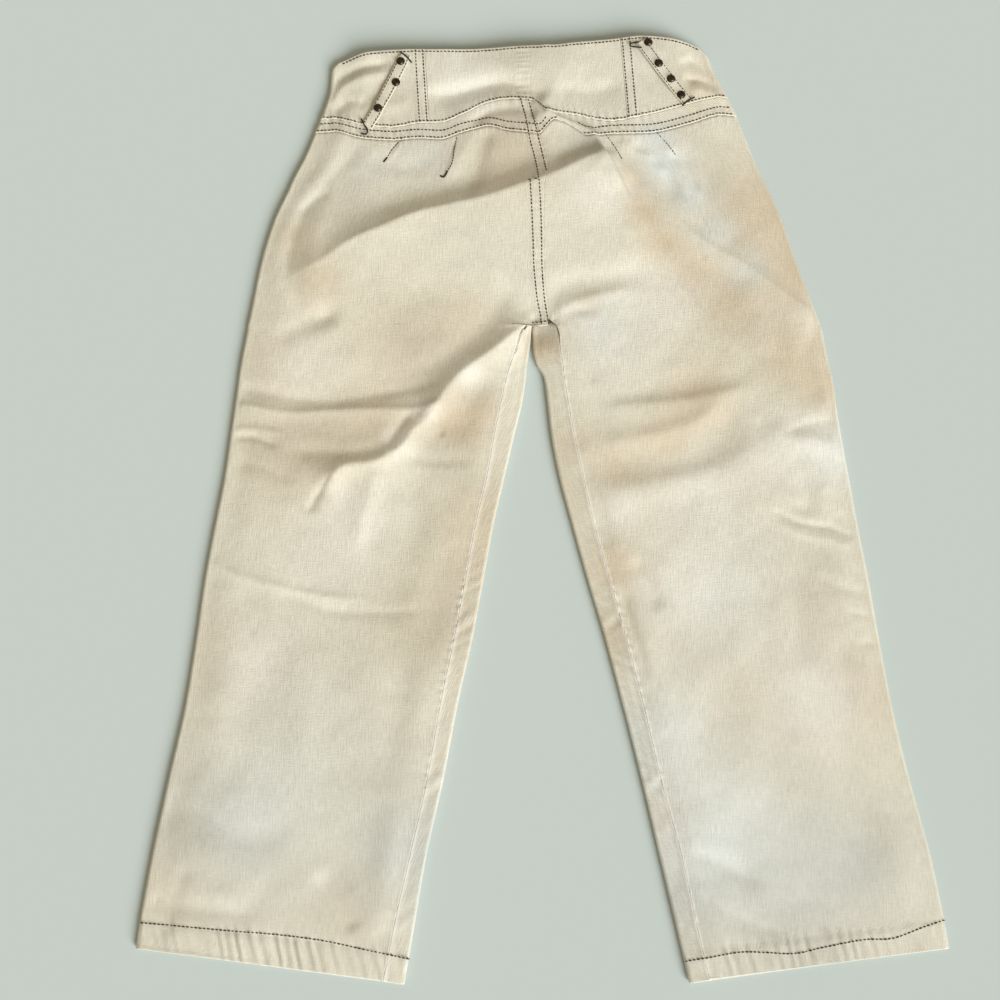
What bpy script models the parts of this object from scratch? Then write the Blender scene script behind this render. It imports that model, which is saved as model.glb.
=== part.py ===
# Capri pants lying flat on their front, back side up, at their real size.
# X runs across the garment, +Y points to the waist, and Z is up from the surface below.
# Every size is in millimetres until the meshes are made, in metres.
import math

import bpy
import numpy as np

for old in list(bpy.data.objects):
    bpy.data.objects.remove(old, do_unlink=True)

MM = 0.001

# cloth and seams
cloth_thick = 1.2
band_thick = 1.6
seam_gap = 0.3
edge_radius = 3.0

# heights of the upper layer over the surface below
lowest_top = 5.2
edge_fade = 42.0
fold_fade = 16.0
closure_rise = 4.0
closure_spread = (40.0, 60.0)

# where the panels begin and end, at the centre back
yoke_low_y = 325.0
crotch_y = 144.0
leg_top_y = 137.0
leg_top_rise = 1.0
hem_y = -395.0
hem_slope = 28.0
hem_slope_x = (105.0, 330.0)
hip_row_fade = 230.0
hem_row_fade = 110.0

# the slanting joins of the band's centre-back piece, at its lower edge
join_x = {-1: -98.0, 1: 83.0}
join_slant = -5.0

# the outline: one row for each level, from the waist down to the hems
# level, left side, left inseam, left inner edge, right inner edge, right inseam, right side
outline_names = ("y", "left_out", "left_seam", "left_in", "right_in", "right_seam", "right_out")
outline = np.array([
    (430, -189, -7, -7, -7, -7, 158),
    (400, -189, -7, -7, -7, -7, 161),
    (370, -190, -7, -7, -7, -7, 173),
    (350, -195, -6, -6, -6, -6, 182),
    (327, -203, 1, 1, 1, 1, 190),
    (300, -213, 8, 4, 4, 8, 199),
    (283, -221, 10, 5, 5, 10, 205),
    (270, -226, 7, 4, 4, 7, 211),
    (240, -238, 6, 2, 2, 6, 222),
    (200, -248, 6, 0, 0, 6, 233),
    (150, -256, 10, 0, 0, 10, 249),
    (144, -257, 10.5, -2, -2, 10.5, 251),
    (139, -258, 10.5, -4, -4, 16, 252),
    (137, -258, -9.5, -5, -5, 17, 253),
    (130, -259, -15, -5.5, -4.5, 19, 254),
    (116, -261, -19, -7, -4, 20, 256),
    (102, -263, -24, -9, -1, 22, 258),
    (92, -264, -27, -10, 5, 23, 260),
    (70, -266, -32, -13, 8, 26, 262),
    (40, -269, -38, -20, 11, 31, 265),
    (0, -273, -45, -29, 18, 39, 270),
    (-40, -279, -54, -38, 28, 47, 275),
    (-90, -286, -63, -47, 41, 60, 282),
    (-140, -291, -72, -56, 55, 73, 288),
    (-200, -298, -84, -69, 70, 87, 296),
    (-260, -309, -94, -80, 84, 100, 307),
    (-320, -319, -107, -93, 97, 115, 320),
    (-380, -327, -120, -103, 110, 127, 329),
    (-440, -332, -131, -113, 123, 140, 335),
], float)[::-1]

# how far the upper layer stands above its edges, by level
loft_levels = np.array([(-430, 0.2), (-330, 0.3), (-150, 0.4), (40, 0.8), (137, 1.5), (260, 3.5), (420, 5.0)])

# seams of the waist across the width: x, the band's lower edge, the yoke's lower edge, the top edge
# past the first and last rows they stay level, round the side edges
waist_names = ("x", "band_low", "yoke_low", "top")
waist = np.array([
    (-184, 336, 323, 396),
    (-157, 328, 315, 405),
    (-133, 328, 320, 407),
    (-109, 334, 319, 408),
    (-88, 334, 317, 408),
    (-68, 342, 324, 408),
    (-44, 354, 330, 409),
    (-26, 357, 325, 410),
    (-5, 356, 322, 411),
    (3, 349, 321, 411),
    (9, 343, 328, 412),
    (16, 342, 334, 412),
    (24, 341, 332, 413),
    (36, 340, 325, 415),
    (46, 338, 319, 416),
    (68, 335, 322, 418),
    (100, 341, 323, 422),
    (138, 352, 332, 417),
    (168, 361, 343, 404),
], float)

# the band's edges at the centre front, on the underside
front_levels = {"band_low": 328.0, "top": 381.0}

# the largest folds: start x and y, end x and y, half width, and height above the layer
folds = np.array([
    (-210, 182, 66, 292, 24, 7.0),
    (82, 286, 240, 156, 30, 5.5),
    (-150, 250, 62, 325, 12, -3.0),
    (-160, 310, -226, 190, 15, -4.0),
    (-14, 140, -184, -14, 24, 4.5),
    (-20, 165, -170, 76, 13, -3.0),
    (64, 48, 190, 92, 17, 2.5),
    (-276, -74, -110, -122, 18, 2.0),
    (-105, 362, -20, 380, 12, -3.5),
], float)

# the closure at the centre front, under the band
front_middle = 3.0
button_y = 356.0
button_radius = 8.5
button_height = 2.5
button_lift = 2.9
button_reach = 44.0
band_lap = 15.0
lap_clear = 3.0
lap_step = 14.0
lap_start = 6.0
button_bevel = 0.5
shield_width = 36.0
shield_thick = 1.0
zip_width = 24.0
zip_thick = 0.8
zip_shorter = 4.0
fly_length = 128.0
fly_below_band = 2.0

# belt loops: the middle line from the top tack to the lower tack
strap_width = 12.5
strap_thick = 1.5
strap_arch = 2.0
straps = {
    "left": ((-121, 401), (-135, 367), (-155, 329)),
    "right": ((97, 415), (117, 384), (139, 354)),
}
rivets = {
    "left": ((-125, 394), (-129, 372.5), (-145, 346.5)),
    "right": ((104, 413.5), (113, 391.5), (124, 376), (133, 360.5)),
}
rivet_radius = 3.5
rivet_height = 1.6
rivet_foot = 0.15
rivet_turns = 16


def smooth_between(table, name, names, at):
    # a cubic through the column's values that never runs past them between two rows
    keys = table[:, 0]
    values = table[:, names.index(name)]
    steps = np.diff(values) / np.diff(keys)
    before, after = steps[:-1], steps[1:]
    mean = 2 * before * after / np.where(before * after > 0, before + after, 1)
    slopes = np.concatenate([steps[:1], np.where(before * after > 0, mean, 0), steps[-1:]])
    at = np.clip(at, keys[0], keys[-1])
    row = np.clip(np.searchsorted(keys, at) - 1, 0, len(keys) - 2)
    step = keys[row + 1] - keys[row]
    t = (at - keys[row]) / step
    curve = values[row] + step * slopes[row] * t * (1 - t) ** 2
    curve = curve + (values[row + 1] - values[row]) * (3 - 2 * t) * t ** 2
    return curve - step * slopes[row + 1] * (1 - t) * t ** 2


def edge(name, y):
    return smooth_between(outline, name, outline_names, y)


def waist_line(name, x):
    return smooth_between(waist, name, waist_names, x)


def front_line(name, x):
    # on the underside the band dips from the sides to the centre front
    ends = waist[:, 0]
    level = waist_line(name, np.where(x < front_middle, ends[0], ends[-1]))
    reach = np.where(x < front_middle, ends[0], ends[-1]) - front_middle
    share = np.clip((x - front_middle) / reach, 0, 1)
    return front_levels[name] + (level - front_levels[name]) * share ** 2


def ease(t):
    t = np.clip(t, 0, 1)
    return t * t * (3 - 2 * t)


def from_edges(x, y):
    # distance in from the side edges, and from the inner edges or the crotch
    sides = np.minimum(x - edge("left_out", y), edge("right_out", y) - x) - edge_radius
    leg = np.where(x < edge("left_in", y) + 0.5, edge("left_in", y) - x, x - edge("right_in", y)) - edge_radius
    hip = np.hypot(x - edge("left_in", crotch_y), y - crotch_y)
    return np.maximum(sides, 0), np.maximum(np.where(y < leg_top_y, leg, hip), 0)


def fold_height(x, y):
    total = np.zeros_like(x)
    for x0, y0, x1, y1, half_width, height in folds:
        length = math.hypot(x1 - x0, y1 - y0)
        along = ((x - x0) * (x1 - x0) + (y - y0) * (y1 - y0)) / length
        across = ((x - x0) * (y1 - y0) - (y - y0) * (x1 - x0)) / length
        ends = ease(along / (2 * half_width) + 0.5) * ease((length - along) / (2 * half_width) + 0.5)
        total += height * ends * np.exp(-(across / half_width) ** 2)
    return total


def top_height(x, y):
    # the outer face of the upper layer
    sides, inner = from_edges(x, y)
    loft = np.interp(y, loft_levels[:, 0], loft_levels[:, 1])
    rise = loft * ease(sides / edge_fade) * ease(inner / edge_fade)
    creases = fold_height(x, y) * ease(sides / fold_fade) * ease(inner / fold_fade)
    wide, long = closure_spread
    closure = closure_rise * np.exp(-((x - front_middle) / wide) ** 2 - ((y - button_y) / long) ** 2)
    return np.maximum(2 * edge_radius + rise + creases + closure, lowest_top)


def bottom_height(x, y):
    # the outer face of the lower layer: on the surface, but lifted over the button
    away = np.hypot(x - front_middle, y - button_y) - button_radius
    return button_lift * (1 - ease(away / button_reach))


def face_normals(height, x, y, sign):
    step = 0.5
    slope_x = (height(x + step, y) - height(x - step, y)) / (2 * step)
    slope_y = (height(x, y + step) - height(x, y - step)) / (2 * step)
    normal = np.stack([-slope_x, -slope_y, np.ones_like(slope_x)], -1)
    return sign * normal / np.linalg.norm(normal, axis=-1, keepdims=True)


def on_top(x, y, lift=0.0):
    points = np.stack([x, y, top_height(x, y)], -1)
    normals = face_normals(top_height, x, y, 1)
    return points + lift * normals, normals


def on_bottom(x, y, lift=0.0):
    points = np.stack([x, y, bottom_height(x, y)], -1)
    normals = face_normals(bottom_height, x, y, -1)
    return points + lift * normals, normals


def round_edge(x, y, angle, side):
    # the folded edge between the layers: side is -1 where it faces left and +1 where it faces right
    out = side * np.cos(angle)
    up = np.sin(angle)
    centre = x - side * edge_radius
    points = np.stack([centre + edge_radius * out, y, edge_radius * (1 + up)], -1)
    normals = np.stack([out, np.zeros_like(out), up], -1)
    return points, normals


def make_mesh(name, points, faces, material):
    mesh = bpy.data.meshes.new(name)
    mesh.from_pydata([tuple(MM * value for value in point) for point in points], [], faces)
    mesh.materials.append(material)
    mesh.update()
    thing = bpy.data.objects.new(name, mesh)
    bpy.context.collection.objects.link(thing)
    return thing


def make_shell(name, points, normals, thick, material, keep=None):
    # a wall of cloth: the outer face is a grid of points, and the inner one lies below it
    rows, columns = points.shape[:2]
    outer = points.reshape(-1, 3)
    inner = outer - thick * normals.reshape(-1, 3)
    count = len(outer)
    middle = points[rows // 2, columns // 2]
    across = points[rows // 2, columns // 2 + 1] - middle
    along = points[rows // 2 + 1, columns // 2] - middle
    flip = np.dot(np.cross(across, along), normals[rows // 2, columns // 2]) < 0
    faces = []
    for i in range(rows - 1):
        for j in range(columns - 1):
            if keep is not None and not keep[i, j]:
                continue
            corner = i * columns + j
            quad = (corner, corner + 1, corner + columns + 1, corner + columns)
            faces.append(quad[::-1] if flip else quad)
    edges = {(face[k], face[(k + 1) % 4]) for face in faces for k in range(4)}
    rim = [(a, b) for a, b in edges if (b, a) not in edges]
    faces += [tuple(index + count for index in reversed(face)) for face in faces]
    faces += [(b, a, a + count, b + count) for a, b in sorted(rim)]
    used = sorted({index for face in faces for index in face})
    order = {index: place for place, index in enumerate(used)}
    both = np.concatenate([outer, inner])[used]
    return make_mesh(name, both, [tuple(order[index] for index in face) for face in faces], material)


def make_material(name, colour, roughness, metallic):
    material = bpy.data.materials.new(name)
    material.use_nodes = True
    shader = material.node_tree.nodes["Principled BSDF"]
    shader.inputs["Base Color"].default_value = (*colour, 1)
    shader.inputs["Roughness"].default_value = roughness
    shader.inputs["Metallic"].default_value = metallic
    return material


# levels of the panels' rows, closer together where the folds and the crotch are
hip_rows = np.concatenate([np.linspace(yoke_low_y, 200, 9), [175, 155, crotch_y]])
leg_rows = np.concatenate([[leg_top_y, 130, 116], np.linspace(100, -60, 8)])
leg_rows = np.concatenate([leg_rows, np.linspace(-90, hem_y + 20, 9), [hem_y]])
panel_rows = np.concatenate([hip_rows, leg_rows])
first_leg_row = len(hip_rows)
roll_angles = np.radians([62, 32, 0])


def row_levels(x, base):
    # rows follow the yoke's seam at the top and the sloping hem below
    top_part = ease((base - hip_row_fade) / (yoke_low_y - hip_row_fade))
    hem_part = ease((hem_y + hem_row_fade - base) / hem_row_fade)
    slope = np.interp(np.abs(x), hem_slope_x, [hem_slope, 0])
    return base + (waist_line("yoke_low", x) - seam_gap / 2 - yoke_low_y) * top_part - slope * hem_part


def back_inner(side, y):
    # the centre-back seam, then the inseam
    word = "left_seam" if side < 0 else "right_seam"
    return edge(word, y) + side * seam_gap / 2


def across_panel(side, base, share):
    # a place on the upper layer: share runs from the inner seam (0) to the side (1)
    word = "left_out" if side < 0 else "right_out"
    y = base
    for _ in range(3):
        x = back_inner(side, y) + share * (edge(word, y) - side * edge_radius - back_inner(side, y))
        y = row_levels(x, base)
    return x, y


def band_join(side, row):
    # a join of the centre-back piece of the band: row runs from its lower edge (0) to the top (1)
    return join_x[side] + join_slant * row


def column_shares(side):
    # columns from the centre back (0) to the side (1), one of them at the join of the band
    word = "left_out" if side < 0 else "right_out"
    start = edge("left_seam", 345.0)
    end = edge(word, 345.0) - side * edge_radius
    join = (band_join(side, 0) - start) / (end - start)
    return np.concatenate([np.linspace(0, join, 10), np.linspace(join, 1, 7)[1:]])


def back_panel(name, side, material):
    shares = column_shares(side)
    base, share = np.meshgrid(panel_rows, shares, indexing="ij")
    x, y = across_panel(side, base, share)
    points, normals = on_top(x, y)
    word = "left_out" if side < 0 else "right_out"
    side_y = y[:, -1:].repeat(len(roll_angles), 1)
    angles = np.broadcast_to(roll_angles + [0, 0, seam_gap / 2 / edge_radius], side_y.shape)
    rolled, rolled_normals = round_edge(edge(word, side_y), side_y, angles, side)
    points = np.concatenate([points, rolled], 1)
    normals = np.concatenate([normals, rolled_normals], 1)
    return make_shell(name, points, normals, cloth_thick, material)


def front_panel(name, side, material):
    out_word, in_word, seam_word = [f"{'left' if side < 0 else 'right'}_{end}" for end in ("out", "in", "seam")]
    shares = np.linspace(1, 0, 10)
    base = panel_rows.copy()
    side_y = across_panel(side, base, np.ones_like(base))[1]
    side_y[0] = waist_line("band_low", side * 200.0) - seam_gap / 2
    inner_y = row_levels(edge(in_word, base), base)
    inner_y[first_leg_row] += leg_top_rise
    columns = []
    # the side edge, from the side seam down to the surface
    for angle in -roll_angles[::-1] - [seam_gap / 2 / edge_radius, 0, 0]:
        columns.append(round_edge(edge(out_word, side_y), side_y, np.full_like(side_y, angle), side))
    # flat on the surface
    for share in shares:
        y = inner_y + share * (side_y - inner_y)
        hip_end = edge(in_word, y) + side * seam_gap / 2
        leg_end = edge(in_word, y) + side * (edge_radius + seam_gap / 2)
        end = np.where(np.arange(len(y)) < first_leg_row, hip_end, leg_end)
        x = end + share * (edge(out_word, y) - side * edge_radius - end)
        y[0] = front_line("band_low", x[0]) - seam_gap
        columns.append(on_bottom(x, y))
    flat_columns = len(columns)
    # the inner edge of the leg
    for angle in np.concatenate([-roll_angles, [roll_angles[1], roll_angles[0]]]):
        columns.append(round_edge(edge(in_word, inner_y) + side * seam_gap / 2, inner_y,
                                  np.full_like(inner_y, angle), -side))
    # over the top, as far as the inseam
    for share in (0.0, 0.35, 0.7, 1.0):
        start = edge(in_word, inner_y) + side * (edge_radius + seam_gap / 2)
        seam_y = row_levels(edge(seam_word, base), base)
        y = inner_y + share * (seam_y - inner_y)
        x = start + share * (edge(seam_word, y) - side * seam_gap / 2 - start)
        columns.append(on_top(x, y))
    points = np.stack([column[0] for column in columns], 1)
    normals = np.stack([column[1] for column in columns], 1)
    keep = np.ones((len(base) - 1, len(columns) - 1), bool)
    keep[:first_leg_row, flat_columns - 1:] = False
    return make_shell(name, points, normals, cloth_thick, material, keep)


def across_yoke(side, row):
    # places between the yoke's lower edge (row 0) and the band (row 1), from the centre back to the side
    shares = column_shares(side)
    word = "left_out" if side < 0 else "right_out"
    y = np.full_like(shares, yoke_low_y)
    for _ in range(5):
        start = edge("left_seam", y) + side * seam_gap / 2
        x = start + shares * (edge(word, y) - side * edge_radius - start)
        low = waist_line("yoke_low", x) + seam_gap / 2
        high = waist_line("band_low", x) - seam_gap / 2
        y = low + row * (high - low)
    return x, y


def yoke(name, side, material):
    word = "left_out" if side < 0 else "right_out"
    rows = []
    for row in np.linspace(0, 1, 3):
        x, y = across_yoke(side, row)
        points, normals = on_top(x, y)
        side_y = y[-1:].repeat(len(roll_angles))
        angles = roll_angles + [0, 0, seam_gap / 2 / edge_radius]
        rolled, rolled_normals = round_edge(edge(word, side_y), side_y, angles, side)
        rows.append((np.concatenate([points, rolled]), np.concatenate([normals, rolled_normals])))
    points = np.stack([row[0] for row in rows])
    normals = np.stack([row[1] for row in rows])
    return make_shell(name, points, normals, cloth_thick, material)


def band_side(name, side, material):
    # from the join at the back, round the side, to the lapped end at the centre front
    word = "left_out" if side < 0 else "right_out"
    shares = np.linspace(0, 1, 7)
    rows = []
    for row in np.linspace(0, 1, 5):
        high_side = waist_line("top", side * 200.0)
        low_side = waist_line("band_low", side * 200.0) + seam_gap / 2
        side_y = low_side + row * (high_side - low_side)
        start = band_join(side, row) + side * seam_gap / 2
        end = edge(word, side_y) - side * edge_radius
        x = start + shares * (end - start)
        low = waist_line("band_low", x) + seam_gap / 2
        y = low + row * (waist_line("top", x) - low)
        points, normals = on_top(x, y)
        angles = np.concatenate([roll_angles, -roll_angles[-2::-1]])
        rolled, rolled_normals = round_edge(edge(word, side_y), np.full_like(angles, side_y), angles, side)
        clear = front_middle + side * (band_lap + lap_clear)
        x = np.concatenate([
            np.linspace(end, clear + side * lap_step, 7),
            clear + side * lap_step * np.array([0.75, 0.5, 0.25, 0]),
            np.linspace(clear - side * lap_start, front_middle - side * band_lap, 4),
        ])
        low = front_line("band_low", x) + seam_gap / 2
        y = low + row * (front_line("top", x) - low)
        under, under_normals = on_bottom(x, y)
        if side > 0:
            under[:, 2] += (band_thick + seam_gap) * (1 - ease((x - clear) / lap_step))
        rows.append((np.concatenate([points, rolled, under]),
                     np.concatenate([normals, rolled_normals, under_normals])))
    points = np.stack([row[0] for row in rows])
    normals = np.stack([row[1] for row in rows])
    return make_shell(name, points, normals, band_thick, material)


def band_back(name, material):
    # its columns start on the yokes' own and slant with the joins
    joins = [int(np.argmin(np.abs(across_yoke(side, 1)[0] - band_join(side, 0)))) for side in (-1, 1)]
    left_low = across_yoke(-1, 1)[0][joins[0]:0:-1]
    right_low = across_yoke(1, 1)[0][1:joins[1] + 1]
    low_x = np.concatenate([left_low, [edge("left_seam", 350.0)], right_low])
    low_x[0] = band_join(-1, 0) + seam_gap / 2
    low_x[-1] = band_join(1, 0) - seam_gap / 2
    row = np.linspace(0, 1, 5)[:, None]
    x = low_x + row * join_slant
    low = waist_line("band_low", x) + seam_gap / 2
    y = low + row * (waist_line("top", x) - low)
    points, normals = on_top(x, y)
    return make_shell(name, points, normals, band_thick, material)


def strap_place(side, along, across):
    # a belt loop's middle line is bent through three places
    first, middle, last = [np.array(place, float) for place in straps[side]]
    bend = 2 * middle - (first + last) / 2
    line = [((1 - t) ** 2 * first + 2 * t * (1 - t) * bend + t ** 2 * last) for t in np.atleast_1d(along)]
    run = (last - first) / np.linalg.norm(last - first)
    square = np.array([-run[1], run[0]])
    return np.array(line) + np.atleast_1d(across)[:, None] * square


def strap(name, side, material):
    along, across = np.meshgrid(np.linspace(0, 1, 15), np.linspace(-0.5, 0.5, 3), indexing="ij")
    flat = strap_place(side, along.ravel(), strap_width * across.ravel())
    x = flat[:, 0].reshape(along.shape)
    y = flat[:, 1].reshape(along.shape)
    lift = seam_gap + strap_thick + strap_arch * np.sin(math.pi * along) ** 2
    points, normals = on_top(x, y)
    middle = normals[:, 1:2].repeat(3, 1)
    return make_shell(name, points + lift[..., None] * middle, middle, strap_thick, material)


def rivet(name, side, place, material):
    # a round cap on the belt loop, its foot just above the cloth
    x, y = (np.array([float(value)]) for value in place)
    first, last = np.array(straps[side][0], float), np.array(straps[side][2], float)
    run = last - first
    along = np.dot(np.array([x[0], y[0]]) - first, run) / np.dot(run, run)
    points, normals = on_top(x, y)
    lift = 2 * seam_gap + strap_thick + strap_arch * math.sin(math.pi * along) ** 2 + rivet_foot
    base = points[0] + lift * normals[0]
    up = normals[0]
    right = np.cross([0, 1, 0], up)
    right /= np.linalg.norm(right)
    ahead = np.cross(up, right)
    turns = 2 * math.pi * np.arange(rivet_turns) / rivet_turns
    rings = [(1.0, 0.0), (1.0, 0.35), (0.82, 0.72), (0.45, 0.94)]
    cap = []
    for reach, height in rings:
        for turn in turns:
            flat = rivet_radius * reach * (math.cos(turn) * right + math.sin(turn) * ahead)
            cap.append(base + flat + rivet_height * height * up)
    cap.append(base + rivet_height * up)
    faces = [tuple(reversed(range(rivet_turns)))]
    for ring in range(len(rings) - 1):
        low = rivet_turns * ring
        for k in range(rivet_turns):
            following = (k + 1) % rivet_turns
            faces.append((low + k, low + following, low + rivet_turns + following, low + rivet_turns + k))
    crown = rivet_turns * (len(rings) - 1)
    faces += [(crown + k, crown + (k + 1) % rivet_turns, len(cap) - 1) for k in range(rivet_turns)]
    return make_mesh(name, cap, faces, material)


def inside_strip(name, width, length, low, thick, material):
    # a flat strip on the inner side of the fronts, down from the band
    x, y = np.meshgrid(np.linspace(-0.5, 0.5, 7), np.linspace(0, 1, 9), indexing="xy")
    x = front_middle + width * x
    y = front_line("band_low", np.array(front_middle)) - fly_below_band - length * y
    points, normals = on_bottom(x, y)
    points[..., 2] += low
    return make_shell(name, points, normals, thick, material)


def button(name, material):
    low = -button_height / 2
    bpy.ops.mesh.primitive_cylinder_add(
        vertices=32, radius=MM * button_radius, depth=MM * button_height,
        location=(MM * front_middle, MM * button_y, MM * -low))
    thing = bpy.context.object
    thing.name = name
    thing.data.materials.append(material)
    bevel = thing.modifiers.new("rounded edge", "BEVEL")
    bevel.width = MM * button_bevel
    bevel.segments = 2
    return thing


def rest_at_middle():
    # the box round everything is centred on the origin, with the underside at Z = 0
    bpy.context.view_layer.update()
    scene_objects = bpy.context.scene.objects
    corners = [thing.matrix_world @ vertex.co for thing in scene_objects for vertex in thing.data.vertices]
    corners = np.array(corners)
    middle = (corners.min(0) + corners.max(0)) / 2
    for thing in scene_objects:
        thing.location.x -= middle[0]
        thing.location.y -= middle[1]


cloth = make_material("cream_twill", (0.74, 0.69, 0.56), 0.85, 0.0)
tape = make_material("zip_tape", (0.62, 0.57, 0.46), 0.8, 0.0)
bronze = make_material("dark_bronze", (0.06, 0.045, 0.035), 0.4, 0.9)

for word, side in (("left", -1), ("right", 1)):
    back_panel(f"back_panel_{word}", side, cloth)
    front_panel(f"front_panel_{word}", side, cloth)
    yoke(f"yoke_{word}", side, cloth)
    band_side(f"waistband_{word}", side, cloth)
    strap(f"belt_loop_{word}", word, cloth)
    for number, place in enumerate(rivets[word], 1):
        rivet(f"rivet_{word}_{number}", word, place, bronze)
band_back("waistband_back", cloth)
zip_top = cloth_thick + seam_gap + zip_thick
inside_strip("zip", zip_width, fly_length - zip_shorter, zip_top, zip_thick, tape)
inside_strip("fly_shield", shield_width, fly_length, zip_top + seam_gap + shield_thick, shield_thick, cloth)
button("button", bronze)
rest_at_middle()
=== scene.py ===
import math

import bpy
import numpy as np
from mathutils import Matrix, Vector


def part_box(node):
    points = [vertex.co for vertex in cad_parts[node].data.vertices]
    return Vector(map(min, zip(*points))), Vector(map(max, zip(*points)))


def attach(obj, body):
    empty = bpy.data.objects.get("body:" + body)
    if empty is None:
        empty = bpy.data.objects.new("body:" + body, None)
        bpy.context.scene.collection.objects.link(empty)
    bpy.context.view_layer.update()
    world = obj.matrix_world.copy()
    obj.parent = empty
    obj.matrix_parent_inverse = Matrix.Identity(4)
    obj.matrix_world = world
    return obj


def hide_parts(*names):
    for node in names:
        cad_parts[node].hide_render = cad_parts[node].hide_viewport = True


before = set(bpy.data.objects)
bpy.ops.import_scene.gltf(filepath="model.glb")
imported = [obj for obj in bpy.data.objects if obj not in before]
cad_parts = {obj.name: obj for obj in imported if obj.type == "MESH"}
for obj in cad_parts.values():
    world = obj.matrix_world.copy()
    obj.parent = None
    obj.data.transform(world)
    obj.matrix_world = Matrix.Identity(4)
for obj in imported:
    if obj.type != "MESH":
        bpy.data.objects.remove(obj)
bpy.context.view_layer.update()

metre = 0.001  # every size below is in millimetres

# the cut of the garment, seen from above with its back side up
garment = dict(
    clothThick=1.1,
    bandThick=1.5,
    seamGap=0.3,
    edgeRadius=3.0,
    crotchLevel=144.0,
    legTop=137.0,
    hemLevel=-395.0,
    hemSlope=28.0,
    hemSlopeAcross=(105.0, 330.0),
    yokeLevel=325.0,
    hipFade=230.0,  # down to here the rows follow the yoke's seam
    hemFade=110.0,  # and over this far the sloping hem
    floorGap=0.5,  # the underside hangs this far over the table, so that its stitches touch it
)

outlineNames = ("level", "leftOut", "leftSeam", "leftIn", "rightIn", "rightSeam", "rightOut")
outline = np.array([
    (430, -189, -7, -7, -7, -7, 158),
    (400, -189, -7, -7, -7, -7, 161),
    (370, -190, -7, -7, -7, -7, 173),
    (350, -195, -5, -6, -6, -5, 182),
    (327, -203, 1, 1, 1, 1, 190),
    (300, -213, 8, 4, 4, 8, 199),
    (283, -221, 10, 5, 5, 10, 205),
    (270, -226, 7, 4, 4, 7, 211),
    (240, -238, 6, 2, 2, 6, 222),
    (200, -248, 6, 0, 0, 6, 233),
    (150, -256, 10, 0, 0, 10, 249),
    (144, -257, 10.5, -2, -2, 10.5, 251),
    (139, -258, 10.5, -4, -4, 16, 252),
    (137, -258, -9.5, -5, -5, 17, 253),
    (130, -259, -15, -5.5, -4.5, 19, 254),
    (116, -261, -19, -7, -4, 20, 256),
    (102, -263, -24, -9, -1, 22, 258),
    (92, -264, -27, -10, 5, 23, 260),
    (70, -266, -32, -13, 8, 26, 262),
    (40, -269, -38, -20, 11, 31, 265),
    (0, -273, -45, -29, 18, 39, 270),
    (-40, -279, -54, -38, 28, 47, 275),
    (-90, -286, -63, -47, 41, 60, 282),
    (-140, -291, -72, -56, 55, 73, 288),
    (-200, -298, -84, -69, 70, 87, 296),
    (-260, -309, -94, -80, 84, 100, 307),
    (-320, -319, -107, -93, 97, 115, 320),
    (-380, -327, -120, -103, 110, 127, 329),
    (-440, -332, -131, -113, 123, 140, 335),
], float)[::-1]

# across the waist: the band's lower edge, the yoke's lower edge and the top edge
waistNames = ("across", "bandLow", "yokeLow", "top")
waist = np.array([
    (-184, 339, 326, 396),
    (-157, 331, 318, 405),
    (-133, 329, 316, 407),
    (-109, 333, 318, 408),
    (-88, 334, 317, 408),
    (-68, 342, 324, 408),
    (-44, 354, 330, 409),
    (-26, 357, 325, 410),
    (-5, 356, 322, 411),
    (3, 349, 321, 411),
    (9, 343, 328, 412),
    (16, 342, 334, 412),
    (24, 341, 332, 413),
    (36, 340, 325, 415),
    (46, 338, 319, 416),
    (68, 335, 322, 418),
    (100, 341, 323, 422),
    (138, 352, 332, 417),
    (168, 361, 343, 404),
], float)
frontLevels = dict(bandLow=328.0, top=381.0)  # the band's edges at the centre front, underneath

closure = dict(
    middle=3.0, buttonLevel=356.0, buttonRadius=8.5,
    lift=2.9, reach=44.0,  # how far the button lifts the underside, and how far around it
    lap=15.0, lapClear=3.0, lapStep=14.0,  # each end passes the middle, and one steps up over the other
)

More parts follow.
